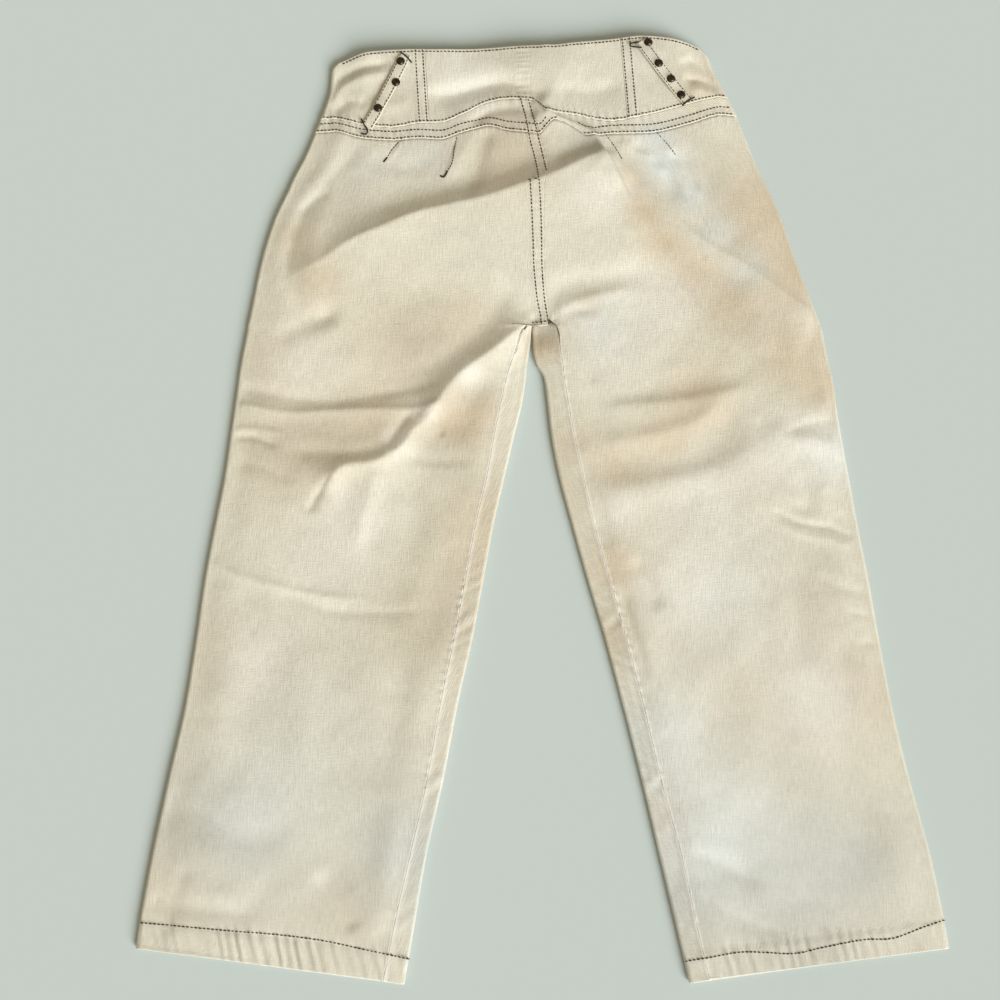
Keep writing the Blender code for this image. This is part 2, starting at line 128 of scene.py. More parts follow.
# folds of the cloth: a path, its height (below 0 for a trough), how far it spreads to the left and
# to the right of the path, how long it takes to fade in and to fade out, and how soft its crest is
folds = [
    # the long crest across the seat, steep above and shallow below
    ([(-216, 186), (-193, 197), (-168, 214), (-142, 226), (-113, 239), (-77, 249), (-45, 256), (-19, 266),
      (4, 274), (20, 281), (36, 289), (52, 297), (64, 303)], 12.0, 18, 70, 120, 5, 1.12),
    ([(14, 296), (36, 306), (56, 311)], -3.0, 10, 8, 16, 8, 1.8),
    ([(-150, 246), (-90, 264), (-40, 280), (0, 298)], -1.8, 16, 9, 60, 30, 2.0),
    # its branch down to the right hip
    ([(64, 305), (104, 263), (131, 233), (158, 211), (184, 196), (211, 175), (237, 156), (250, 150)],
     3.0, 7, 26, 12, 14, 1.15),
    ([(78, 276), (98, 246), (124, 216), (150, 194), (184, 172)], -2.2, 14, 18, 20, 40, 1.8),
    ([(96, 196), (140, 172), (186, 138)], -1.6, 16, 22, 40, 40, 2.0),
    # the trough down the left hip and its curl
    ([(-160, 312), (-181, 286), (-198, 262), (-211, 243), (-219, 219), (-223, 191), (-217, 168), (-205, 151),
      (-192, 146), (-180, 148)], -2.6, 13, 10, 60, 16, 1.7),
    ([(-182, 300), (-206, 268), (-224, 234), (-232, 202), (-230, 172)], 0.8, 7, 9, 40, 30, 1.9),
    ([(-214, 246), (-200, 260), (-187, 266)], -1.0, 5, 6, 8, 8, 1.6),
    ([(-178, 290), (-190, 264), (-198, 232), (-202, 200), (-192, 170)], 1.2, 10, 14, 30, 24, 1.8),
    ([(-236, 128), (-205, 138), (-174, 154)], -1.6, 9, 9, 20, 24, 2.0),
    ([(-150, 300), (-130, 290), (-104, 288)], -1.0, 8, 8, 14, 20, 1.8),
    # below the yoke
    ([(-45, 327), (-52, 296), (-62, 260)], -2.8, 8, 14, 14, 30, 1.8),
    ([(-58, 322), (-72, 296), (-84, 272)], 1.3, 8, 8, 14, 24, 1.9),
    ([(88, 312), (106, 298), (120, 276), (124, 254)], -1.5, 8, 8, 10, 24, 1.9),
    ([(76, 316), (92, 304), (108, 300)], 0.9, 4, 5, 8, 10, 1.6),
    ([(110, 292), (126, 280), (136, 262)], 1.2, 4, 4, 12, 12, 1.7),
    ([(122, 304), (136, 290), (146, 270)], -1.3, 4, 4, 12, 12, 1.7),
    ([(132, 262), (148, 240), (166, 216)], 1.0, 5, 5, 16, 16, 1.8),
    ([(148, 262), (164, 240), (182, 214)], -1.0, 5, 5, 16, 16, 1.8),
    ([(130, 306), (150, 288), (160, 262)], -0.9, 8, 8, 16, 20, 1.9),
    # from the crotch across the left thigh
    ([(-9, 140), (-35, 117), (-68, 92), (-85, 70), (-95, 51), (-107, 42), (-120, 24), (-144, 11), (-169, 7),
      (-187, -12)], 6.8, 12, 14, 20, 18, 1.3),
    ([(-19, 176), (-38, 146), (-64, 118), (-92, 98), (-139, 84), (-202, 77)], -2.6, 18, 16, 20, 60, 1.9),
    ([(-84, 66), (-97, 58), (-103, 48)], 1.6, 5, 5, 6, 6, 1.6),
    ([(-94, 52), (-88, 46), (-84, 36)], -1.6, 4, 4, 6, 6, 1.6),
    ([(-112, 56), (-126, 36), (-132, 24)], -2.0, 5, 6, 9, 9, 1.6),
    ([(-134, 24), (-170, 20), (-217, 24)], -1.9, 8, 7, 12, 26, 1.8),
    ([(-180, 0), (-192, -18), (-198, -32)], -2.0, 4, 4, 10, 10, 1.5),
    ([(-118, 20), (-94, 14), (-58, 14)], -1.2, 7, 7, 16, 20, 1.8),
    ([(-46, 92), (-62, 62), (-70, 36)], -1.6, 12, 14, 20, 24, 1.9),
    # flat pleats across the left thigh
    ([(-269, 67), (-242, 61), (-218, 57), (-164, 60), (-108, 60), (-89, 65)], 1.9, 4, 7, 16, 12, 1.35),
    ([(-265, 82), (-218, 71), (-171, 70), (-120, 78), (-92, 84)], -1.6, 7, 6, 30, 24, 1.8),
    ([(-268, 36), (-248, 35), (-228, 27)], -1.7, 3, 3, 5, 12, 1.4),
    ([(-270, 43), (-246, 42), (-222, 38)], 1.0, 3, 4, 5, 14, 1.5),
    ([(-262, 14), (-236, 6), (-214, -4)], -0.9, 6, 6, 12, 14, 1.9),
    # the left knee
    ([(-282, -73), (-260, -87), (-221, -98), (-182, -106), (-144, -109)], 1.0, 4, 5, 16, 44, 1.5),
    ([(-208, -106), (-178, -118), (-135, -120), (-100, -118)], -0.9, 4, 5, 36, 26, 1.6),
    ([(-140, 4), (-150, -30), (-158, -66)], 2.2, 9, 12, 12, 30, 1.6),
    ([(-112, 0), (-106, -30), (-112, -70)], -1.6, 14, 14, 24, 34, 2.0),
    ([(-70, -60), (-84, -110), (-104, -150)], -1.8, 16, 18, 40, 40, 2.0),
    # the right thigh
    ([(66, 72), (93, 75), (127, 82), (164, 94)], -1.2, 13, 13, 30, 40, 1.9),
    ([(60, 62), (110, 66), (150, 72), (190, 82)], 1.6, 6, 10, 24, 30, 1.7),
    ([(46, 8), (76, 10), (105, 13), (140, 20), (164, 40), (176, 62)], -1.8, 15, 14, 20, 34, 1.9),
    ([(56, 28), (104, 38), (140, 50), (164, 72)], 1.7, 9, 9, 26, 30, 1.8),
    ([(60, -14), (110, -6), (160, 8), (200, 32)], 1.6, 10, 16, 26, 36, 1.9),
    ([(214, 38), (240, 48), (268, 52)], -1.1, 4, 8, 20, 5, 1.6),
    ([(200, 44), (222, 34), (250, 30), (272, 18)], 2.2, 9, 12, 20, 6, 1.9),
    ([(200, 118), (224, 96), (244, 66)], -1.4, 10, 12, 20, 20, 1.9),
    ([(240, 120), (250, 90), (256, 60)], 1.2, 7, 7, 20, 14, 1.9),
    # the right leg
    ([(204, -30), (216, -38), (230, -43), (252, -46), (270, -54)], -1.3, 2.2, 2.6, 8, 6, 1.4),
    ([(206, -40), (226, -52), (250, -56), (266, -62)], 1.0, 4, 4, 14, 8, 1.6),
    ([(226, 0), (234, -18), (230, -34)], -1.3, 8, 8, 18, 10, 1.9),
    ([(244, -8), (252, -22), (262, -34)], 0.9, 6, 6, 10, 10, 1.8),
    ([(40, 16), (46, -6), (54, -34), (62, -64)], -1.3, 6, 10, 16, 20, 1.9),
    ([(80, -74), (92, -92), (102, -116)], -2.2, 7, 8, 14, 16, 1.9),
    ([(70, -98), (78, -130), (90, -170)], -1.9, 5, 6, 20, 36, 1.8),
    ([(252, -146), (258, -166), (260, -192)], -1.1, 9, 8, 20, 18, 1.9),
    ([(262, -120), (278, -122), (292, -122)], -0.8, 3, 4, 8, 5, 1.6),
    ([(270, -146), (282, -146), (294, -144)], -0.7, 3, 4, 8, 5, 1.6),
    ([(240, -90), (262, -100), (284, -104)], -0.9, 5, 5, 18, 8, 1.7),
    ([(210, -80), (222, -120), (218, -160)], -1.4, 13, 13, 30, 30, 1.9),
    ([(84, -130), (108, -210), (132, -280), (146, -330)], 2.2, 16, 30, 50, 30, 1.9),
    ([(124, -318), (150, -330), (178, -345)], -1.7, 7, 7, 16, 24, 1.7),
    ([(130, -352), (160, -372), (200, -384)], -1.0, 5, 6, 14, 30, 1.9),
    ([(160, -130), (176, -180), (180, -240)], 1.2, 18, 18, 40, 40, 2.0),
    ([(240, -230), (262, -280), (270, -330)], -1.4, 16, 16, 40, 40, 2.0),
    # the left leg
    ([(-312, -276), (-286, -290), (-258, -303), (-212, -309)], -2.2, 12, 16, 16, 40, 1.9),
    ([(-182, -338), (-166, -360), (-152, -380)], -2.2, 8, 7, 16, 10, 1.8),
    ([(-156, -346), (-142, -366), (-132, -384)], 1.2, 8, 8, 16, 10, 1.9),
    ([(-318, -358), (-280, -364), (-232, -368)], -1.5, 8, 7, 10, 30, 1.9),
    ([(-114, -150), (-120, -210), (-132, -262)], -1.6, 12, 14, 40, 40, 2.0),
    ([(-200, -150), (-196, -210), (-206, -260)], 1.2, 18, 18, 40, 40, 2.0),
    ([(-252, -130), (-262, -190), (-272, -240)], 1.6, 16, 22, 40, 40, 2.0),
    ([(-120, -280), (-126, -330), (-130, -376)], 1.6, 12, 12, 30, 20, 1.9),
    ([(-290, -330), (-300, -360), (-306, -385)], -1.3, 7, 7, 14, 10, 1.8),
    # beside the crotch
    ([(10, 166), (35, 177), (79, 184), (108, 183)], -1.9, 10, 13, 14, 44, 1.9),
    ([(16, 150), (44, 162), (84, 172)], 1.5, 6, 7, 10, 30, 1.8),
    ([(22, 148), (38, 152), (54, 152)], -1.5, 7, 5, 8, 12, 1.8),
    ([(24, 132), (34, 112), (52, 84)], -1.4, 5, 5, 8, 20, 1.7),
    ([(14, 146), (22, 140), (26, 130)], -1.2, 3, 4, 4, 6, 1.5),
    ([(-8, 142), (-18, 146), (-30, 158)], 1.0, 4, 5, 5, 12, 1.7),
    # the waist
    ([(-100, 362), (-76, 364), (-46, 372), (-28, 374), (-8, 368), (8, 358)], -4.6, 8, 13, 28, 14, 1.7),
    ([(-100, 386), (-50, 390), (10, 390), (60, 394)], 0.9, 14, 14, 30, 40, 2.0),
    ([(20, 368), (50, 364), (76, 372)], -1.9, 8, 12, 16, 16, 1.8),
    # the tuck where the seat stands over the yoke
    ([(10, 346), (16, 339), (36, 330), (58, 320)], 2.4, 3, 7, 6, 10, 1.3),
    ([(-62, 332), (-40, 346), (-14, 347), (0, 340)], -2.6, 6, 7, 16, 8, 1.8),
    ([(-192, 374), (-177, 384), (-158, 391), (-136, 394)], -2.6, 5, 6, 6, 14, 1.6),
    ([(-190, 356), (-176, 372), (-154, 380), (-138, 382)], 1.9, 7, 7, 8, 14, 1.7),
    ([(-186, 346), (-170, 356), (-156, 352)], -1.3, 5, 6, 8, 8, 1.8),
    ([(-150, 352), (-134, 350), (-116, 354)], 1.3, 8, 8, 14, 12, 1.9),
    ([(136, 378), (152, 378), (172, 372)], -1.8, 4, 5, 10, 6, 1.5),
    ([(140, 400), (152, 392), (166, 382)], -1.9, 5, 5, 8, 6, 1.5),
    ([(140, 366), (156, 366), (176, 358)], 1.3, 5, 6, 12, 6, 1.8),
    ([(134, 398), (142, 386), (146, 374)], -1.2, 4, 4, 8, 8, 1.7),
]

# shallow gathers beside a seam: where, how far apart, how high
gathers = dict(hem=(10.5, 0.9), inseam=(8.0, 0.75), band=(8.0, 0.45), yoke=(7.0, 0.35), seat=(6.0, 0.2))
# where the hems pucker most: a place across, its reach and how strong
hemSpots = [(-215, 45, 1.0), (238, 40, 1.0), (-120, 22, 0.5), (150, 26, 0.45), (-300, 20, 0.4)]


def smoothBetween(table, names, name, at):
    keys = table[:, 0]
    values = table[:, names.index(name)]
    steps = np.diff(values) / np.diff(keys)
    before, after = steps[:-1], steps[1:]
    mean = 2 * before * after / np.where(before * after > 0, before + after, 1)
    slopes = np.concatenate([steps[:1], np.where(before * after > 0, mean, 0), steps[-1:]])
    at = np.clip(at, keys[0], keys[-1])
    row = np.clip(np.searchsorted(keys, at) - 1, 0, len(keys) - 2)
    step = keys[row + 1] - keys[row]
    t = (at - keys[row]) / step
    curve = values[row] + step * slopes[row] * t * (1 - t) ** 2
    curve = curve + (values[row + 1] - values[row]) * (3 - 2 * t) * t ** 2
    return curve - step * slopes[row + 1] * (1 - t) * t ** 2


def edge(name, level):
    return smoothBetween(outline, outlineNames, name, level)


def waistLine(name, across):
    return smoothBetween(waist, waistNames, name, across)


def frontLine(name, across):
    ends = waist[:, 0]
    end = np.where(across < closure["middle"], ends[0], ends[-1])
    share = np.clip((across - closure["middle"]) / (end - closure["middle"]), 0, 1)
    return frontLevels[name] + (waistLine(name, end) - frontLevels[name]) * share ** 2


def hemLine(across):
    slope = np.interp(np.abs(across), garment["hemSlopeAcross"], [garment["hemSlope"], 0])
    return garment["hemLevel"] - slope


def ease(t):
    t = np.clip(t, 0, 1)
    return t * t * (3 - 2 * t)


def hill(x, y, place, spread):
    return np.exp(-((x - place[0]) / spread[0]) ** 2 - ((y - place[1]) / spread[1]) ** 2)


def softNoise(x, y, size, seed):
    # smooth uneven waves from about -1 to 1
    dice = np.random.RandomState(seed).uniform(-1, 1, (64, 64))
    u, v = x / size, y / size
    column, row = np.floor(u).astype(int), np.floor(v).astype(int)
    fu, fv = ease(u - column), ease(v - row)
    near = dice[row % 64, column % 64] * (1 - fu) + dice[row % 64, (column + 1) % 64] * fu
    far = dice[(row + 1) % 64, column % 64] * (1 - fu) + dice[(row + 1) % 64, (column + 1) % 64] * fu
    return near * (1 - fv) + far * fv


def roundedPath(points, step=4.0):
    # a smooth line through the points
    points = np.array(points, float)
    ends = [2 * points[0] - points[1], *points, 2 * points[-1] - points[-2]]
    line = []
    for a, b, c, d in zip(ends, ends[1:], ends[2:], ends[3:]):
        for t in np.linspace(0, 1, max(2, int(np.linalg.norm(c - b) / step)), endpoint=False):
            line.append(0.5 * (2 * b + (c - a) * t + (2 * a - 5 * b + 4 * c - d) * t ** 2
                               + (3 * b - a - 3 * c + d) * t ** 3))
    return np.array(line + [points[-1]])


def foldHeight(x, y):
    total = np.zeros(x.size)
    flatX, flatY = x.ravel(), y.ravel()
    for path, height, left, right, fadeIn, fadeOut, soft in folds:
        line = roundedPath(path)
        reach = 2.6 * max(left, right)
        near = ((flatX > line[:, 0].min() - reach) & (flatX < line[:, 0].max() + reach)
                & (flatY > line[:, 1].min() - reach) & (flatY < line[:, 1].max() + reach))
        index = np.flatnonzero(near)
        if not len(index):
            continue
        px, py = flatX[index], flatY[index]
        best = np.full(len(index), 1e9)
        side = np.zeros(len(index))
        along = np.zeros(len(index))
        run = 0.0
        last = len(line) - 2
        for k, (start, end) in enumerate(zip(line, line[1:])):
            step = end - start
            length = math.hypot(*step)
            t = ((px - start[0]) * step[0] + (py - start[1]) * step[1]) / length ** 2
            held = np.clip(t, 0 if k else -50, 1 if k < last else 50)
            across = np.hypot(px - start[0] - held * step[0], py - start[1] - held * step[1])
            turn = step[0] * (py - start[1]) - step[1] * (px - start[0])
            closer = across < best
            best = np.where(closer, across, best)
            side = np.where(closer, turn, side)
            along = np.where(closer, run + held * length, along)
            run += length
        spread = np.where(side > 0, left, right)
        amount = height * np.exp(-(best / spread) ** soft)
        amount *= ease(along / fadeIn + 0.35) * ease((run - along) / fadeOut + 0.35)
        total[index] += amount
    return total.reshape(x.shape)


def fromEdges(x, y):
    radius = garment["edgeRadius"]
    sides = np.minimum(x - edge("leftOut", y), edge("rightOut", y) - x) - radius
    leg = np.where(x < edge("leftIn", y) + 0.5, edge("leftIn", y) - x, x - edge("rightIn", y)) - radius
    hip = np.hypot(x - edge("leftIn", garment["crotchLevel"]), y - garment["crotchLevel"])
    return np.maximum(sides, 0), np.maximum(np.where(y < garment["legTop"], leg, hip), 0)


def gatherHeight(x, y):
    # puckers that run square to the hems, the inseams and the band's lower edge
    total = np.zeros(x.shape)
    spacing, height = gathers["hem"]
    over = y - hemLine(x)
    place = x + 0.35 * over + 9 * softNoise(x, y * 0, 24, 3)
    wave = np.sin(2 * math.pi * place / spacing) + 0.5 * np.sin(2 * math.pi * place / spacing / 0.62 + 1)
    strength = 0.4 + sum(share * np.exp(-((x - spot) / reach) ** 2) for spot, reach, share in hemSpots)
    wave = wave * strength * (0.8 + 0.5 * softNoise(x, y * 0, 31, 5))
    total += height * wave * ease((30 - over) / 12) * (0.5 + 0.5 * ease(over / 5))
    spacing, height = gathers["inseam"]
    for word, sign in (("left", -1), ("right", 1)):
        outward = sign * (x - edge(word + "Seam", y))
        wave = np.sin(2 * math.pi * (y + 0.4 * x + 6 * softNoise(y, y * 0, 17, 7)) / spacing)
        wave = wave * (0.5 + 0.8 * softNoise(y, y * 0, 37, 11))
        inside = ease((outward + 24) / 6) * ease((7 - outward) / 9) * ease((116 - y) / 20)
        total += height * wave * inside * ease((y + 385) / 12)
        total += 0.5 * np.exp(-((outward + 0.5) / 1.6) ** 2) * ease((132 - y) / 20)
    for name, line, seed in (("band", "bandLow", 13), ("yoke", "yokeLow", 29)):
        spacing, height = gathers[name]
        over = y - waistLine(line, x)
        wave = np.sin(2 * math.pi * (x + 0.3 * over + 7 * softNoise(x, y * 0, 19, seed)) / spacing)
        wave = wave * (0.7 + 0.8 * softNoise(x, y * 0, 43, seed + 1))
        total += height * wave * ease((over + 10) / 8) * ease((13 - over) / 10)
    over = np.abs(x - edge("leftSeam", y) + 5)
    wave = np.sin(2 * math.pi * (y + 3 * softNoise(y, y * 0, 15, 31)) / gathers["seat"][0])
    total += gathers["seat"][1] * wave * ease((9 - over) / 5) * ease((y - 142) / 8)
    return total


loft = dict(
    levels=(-430, -330, -150, 40, 137, 260, 420), heights=(1.0, 1.6, 2.0, 2.2, 2.6, 4.2, 5.0), fade=30,
    seatHeight=1.5, seatPlace=(20, 210), seatSpread=(110, 70), seatFade=40,  # the seat stands highest
    closureHeight=4.0, closureSpread=(40, 60),
    lowest=4.6, lowestAtFly=1.2,  # the top layer never sinks onto the lower one
)


def topHeight(x, y):
    sides, inner = fromEdges(x, y)
    rise = np.interp(y, loft["levels"], loft["heights"])
    rise = rise * ease(sides / loft["fade"]) * ease(inner / loft["fade"])
    seat = loft["seatHeight"] * hill(x, y, loft["seatPlace"], loft["seatSpread"])
    rise = rise + seat * ease(sides / loft["seatFade"]) * ease(inner / loft["seatFade"])
    creases = foldHeight(x, y) * ease(sides / 8 + 0.2) * ease(inner / 8 + 0.12)
    waves = (0.95 * softNoise(x + 7 * softNoise(x, y, 50, 21), y * 0.8, 46, 17)
             + 0.42 * softNoise(x + 4 * softNoise(x, y, 18, 25), y, 21, 19)
             + 0.15 * softNoise(x + 0.4 * y, y, 9, 23)
             + 0.05 * softNoise(x, y + 0.3 * x, 4.3, 27)) * ease(sides / 14) * ease(inner / 14)
    button = (closure["middle"], closure["buttonLevel"])
    lift = loft["closureHeight"] * hill(x, y, button, loft["closureSpread"])
    height = 2 * garment["edgeRadius"] + rise + creases + waves + lift
    atFly = np.exp(-((x - closure["middle"]) / 26) ** 2) * ease((y - 180) / 30)
    low = loft["lowest"] + loft["lowestAtFly"] * atFly
    height = low + np.logaddexp(0, (height - low) * 1.6) / 1.6
    return height + gatherHeight(x, y)


def bottomHeight(x, y):
    away = np.hypot(x - closure["middle"], y - closure["buttonLevel"]) - closure["buttonRadius"]
    return garment["floorGap"] + closure["lift"] * (1 - ease(away / closure["reach"]))


seams = dict(
    cornerRound=5.5,  # how far the band's top corners draw in
    bandLift=0.85,  # how far each piece stands over the panel beside it
    yokeLift=0.42,
    lapLift=0.22,  # where one edge is felled over the next
    lapWidth=11.0,
    hemLift=0.5,
    hemDepth=20.5,
    twin=6.8,  # between the two rows of a twin-stitched seam
    under=1.7,  # how far an edge reaches under its neighbour
)

darts = [((-123, 318), (-131, 308), (-138, 296)), ((-73, 318), (-75, 306), (-77, 292), (-84, 279)),
         ((64, 321), (71, 310), (77, 298)), ((111, 323), (119, 313), (126, 303))]


# the slanting joins of the band's centre-back piece: where they start, and how far they slant
bandJoins = {-1: -98.0, 1: 83.0}
joinSlant = -5.0


def bandJoin(side, row):
    # row runs from the band's lower edge (0) to the top (1)
    return bandJoins[side] + joinSlant * row


def seatSeam(level):
    return edge("leftSeam", level)


def layerLift(x, y):
    low = waistLine("bandLow", x)
    yokeLow = waistLine("yokeLow", x)
    row = np.clip((y - low) / 70, 0, 1)
    joined = np.maximum(bandJoin(-1, row) - x, x - bandJoin(1, row))
    lap = np.where(joined > 0, seams["lapLift"] * (1 - ease((joined - seams["lapWidth"]) / 1.6)), 0)
    band = seams["bandLift"] + lap
    yoke = seams["yokeLift"] + 0.2 * ease((8 - y + yokeLow) / 6)
    inward = seatSeam(y) - x
    seat = np.where((inward > 0) & (y > garment["crotchLevel"] - 4),
                    seams["lapLift"] * (1 - ease((inward - seams["lapWidth"]) / 1.6)), 0)
    above = y - hemLine(x)
    panel = seat + seams["hemLift"] * (1 - ease((above - seams["hemDepth"]) / 1.2))
    for (x0, y0), *_, (x1, y1) in darts:
        length = math.hypot(x1 - x0, y1 - y0)
        along = ((x - x0) * (x1 - x0) + (y - y0) * (y1 - y0)) / length
        across = ((x - x0) * (y1 - y0) - (y - y0) * (x1 - x0)) / length
        ends = ease(along / 3 + 0.5) * ease((length - along) / 8)
        ridge, groove = np.exp(-((across + 2) / 2.2) ** 2), np.exp(-(across / 0.9) ** 2)
        panel = panel + ends * (0.35 * ridge - 0.65 * groove)
    return np.where(y > low, band, np.where(y > yokeLow, yoke, panel))


def outerHeight(x, y):
    return topHeight(x, y) + layerLift(x, y)


def onTop(x, y, lift=0.0):
    x, y = np.asarray(x, float), np.asarray(y, float)
    step = 0.8
    slopeX = (outerHeight(x + step, y) - outerHeight(x - step, y)) / (2 * step)
    slopeY = (outerHeight(x, y + step) - outerHeight(x, y - step)) / (2 * step)
    normal = np.stack([-slopeX, -slopeY, np.ones_like(slopeX)], -1)
    normal /= np.linalg.norm(normal, axis=-1, keepdims=True)
    points = np.stack([x, y, outerHeight(x, y)], -1)
    return points + np.asarray(lift)[..., None] * normal, normal


def sideRoll(side, level, radiusMore, angles, lift):
    # the folded edge between the two layers, from the top (90 degrees) to the underside (-90)
    word = "leftOut" if side < 0 else "rightOut"
    out = edge(word, level)
    start = out - side * garment["edgeRadius"]
    top = topHeight(start, level) + lift
    bottom = bottomHeight(start, level)
    middle, half = (top + bottom) / 2, (top - bottom) / 2
    radius = garment["edgeRadius"] + radiusMore
    return np.stack([start + side * radius * np.cos(angles), level, middle + half * np.sin(angles)], -1)


def roundedBorder(away, thick):
    # a wall's outer face falls away towards its cut border
    radius = 0.46 * thick
    inward = np.clip(away, 0, radius)
    return radius - np.sqrt(np.maximum(radius ** 2 - (radius - inward) ** 2, 0))


def dive(inside, depth):
    # an edge that lies under its neighbour dips just before the neighbour's border
    return depth * ease((0.1 - inside) / 0.5)


# from the garment's own places to the frame's
shift = (np.array(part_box("button")[0]) + np.array(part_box("button")[1]))[:2] / 2 / metre
shift = np.array([*(shift - (closure["middle"], closure["buttonLevel"])), 0])


def makeObject(name, points, faces, uv=None):
    mesh = bpy.data.meshes.new(name)
    mesh.vertices.add(len(points))
    mesh.vertices.foreach_set("co", ((points + shift) * metre).astype(np.float32).ravel())
    listed = isinstance(faces, list)
    sizes = np.array([len(face) for face in faces]) if listed else np.full(len(faces), faces.shape[1])
    corners = np.concatenate([np.asarray(face) for face in faces]) if listed else faces.ravel()
    mesh.loops.add(len(corners))
    mesh.loops.foreach_set("vertex_index", corners.astype(np.int32))
    mesh.polygons.add(len(sizes))
    mesh.polygons.foreach_set("loop_start", np.concatenate([[0], np.cumsum(sizes)[:-1]]).astype(np.int32))
    mesh.polygons.foreach_set("use_smooth", np.ones(len(sizes), bool))
    if uv is not None:
        layer = mesh.uv_layers.new(name="grain")
        layer.data.foreach_set("uv", (uv[corners] * metre).astype(np.float32).ravel())
    mesh.update(calc_edges=True)
    mesh.validate()
    thing = bpy.data.objects.new(name, mesh)
    bpy.context.collection.objects.link(thing)
    return thing


def gridNormals(points):
    across = np.gradient(points, axis=1)
    along = np.gradient(points, axis=0)
    normal = np.cross(across, along)
    return normal / np.maximum(np.linalg.norm(normal, axis=-1, keepdims=True), 1e-9)


def makeShell(name, points, thick, facing, keep=None, borders=None, edgeColumn=None):
    # a closed wall of cloth whose outer face is a grid of points; facing names a column that looks up (+1)
    # or down (-1), and borders holds the distance of each point from a cut border that shows
    rows, columns = points.shape[:2]
    column, sign = facing
    normals = gridNormals(points)
    flip = np.sign(normals[rows // 2, column, 2]) != sign
    if flip:
        normals = -normals
    if edgeColumn:
        rowsAbove, last = edgeColumn  # above these rows the wall ends at this column
        normals[:rowsAbove, last] = normals[:rowsAbove, last - 1]
    drop = np.zeros((rows, columns)) if borders is None else roundedBorder(borders, thick)
    outer = points - drop[..., None] * normals
    inner = outer - (thick - 2 * drop)[..., None] * normals
    count = rows * columns
    corner = np.arange(count).reshape(rows, columns)
    quads = np.stack([corner[:-1, :-1], corner[:-1, 1:], corner[1:, 1:], corner[1:, :-1]], -1)
    quads = quads.reshape(-1, 4) if keep is None else quads[keep]
    if flip:
        quads = quads[:, ::-1]
    starts, ends = quads.ravel(), np.roll(quads, -1, 1).ravel()
    alone = ~np.isin(starts * count + ends, ends * count + starts)
    a, b = starts[alone], ends[alone]
    faces = np.concatenate([quads, quads[:, ::-1] + count, np.stack([b, a, a + count, b + count], -1)])
    walked = np.linalg.norm(np.diff(points, axis=1), axis=-1)
    run = np.concatenate([np.zeros((rows, 1)), np.cumsum(walked, 1)], 1)
    runSign = np.sign(points[rows // 2, -1, 0] - points[rows // 2, 0, 0]) or 1
    uv = np.stack([points[:, :1, 0] + runSign * run, points[..., 1]], -1).reshape(-1, 2)
    both = np.concatenate([outer.reshape(-1, 3), inner.reshape(-1, 3)])
    used = np.unique(faces)
    order = np.zeros(2 * count, int)
    order[used] = np.arange(len(used))
    return makeObject(name, both[used], order[faces], np.concatenate([uv, uv])[used])


# rows of the panels, closer together at the crotch and the hems
panelGrid = dict(
    hipRows=84, crotchRows=12, legRows=252, across=108, rollColumns=8,
    frontAcross=66, frontStep=2, yokeAcross=120, bandAcross=50,
)
hipRows = np.linspace(garment["yokeLevel"], garment["crotchLevel"], panelGrid["hipRows"], endpoint=False)
crotchRows = np.linspace(garment["crotchLevel"], garment["legTop"], panelGrid["crotchRows"], endpoint=False)
legRows = np.linspace(garment["legTop"], garment["hemLevel"] + 1.6, panelGrid["legRows"])
hemRows = garment["hemLevel"] + np.array([1.1, 0.7, 0.35, 0.12, 0])
topRows = garment["yokeLevel"] + np.array([1.7, 1.2, 0.7, 0.3])
panelRows = np.concatenate([topRows, hipRows, crotchRows, legRows, hemRows])
nearSeam = np.array([0, 0.1, 0.25, 0.5, 0.9, 1.5, 2.3, 3.3, 4.5, 6, 7.5, 9, 10.5, 11.5, 12.5, 13.5])


def rowLevels(x, base):
    # rows follow the yoke's seam at the top and the sloping hem below
    topPart = ease((base - garment["hipFade"]) / (garment["yokeLevel"] - garment["hipFade"]))
    hemPart = ease((garment["hemLevel"] + garment["hemFade"] - base) / garment["hemFade"])
    rise = waistLine("yokeLow", x) - garment["seamGap"] / 2 - garment["yokeLevel"]
    return base + rise * topPart + (hemLine(x) - garment["hemLevel"]) * hemPart


def seamColumns(count):
    # columns close together beside a seam, then spread to the side: their distance and their share
    near = np.concatenate([nearSeam, np.full(count, nearSeam[-1])])
    return near, np.concatenate([np.zeros(len(nearSeam)), np.linspace(0, 1, count + 1)[1:]])


def backInner(side, y):
    return edge("leftSeam" if side < 0 else "rightSeam", y) + side * garment["seamGap"] / 2


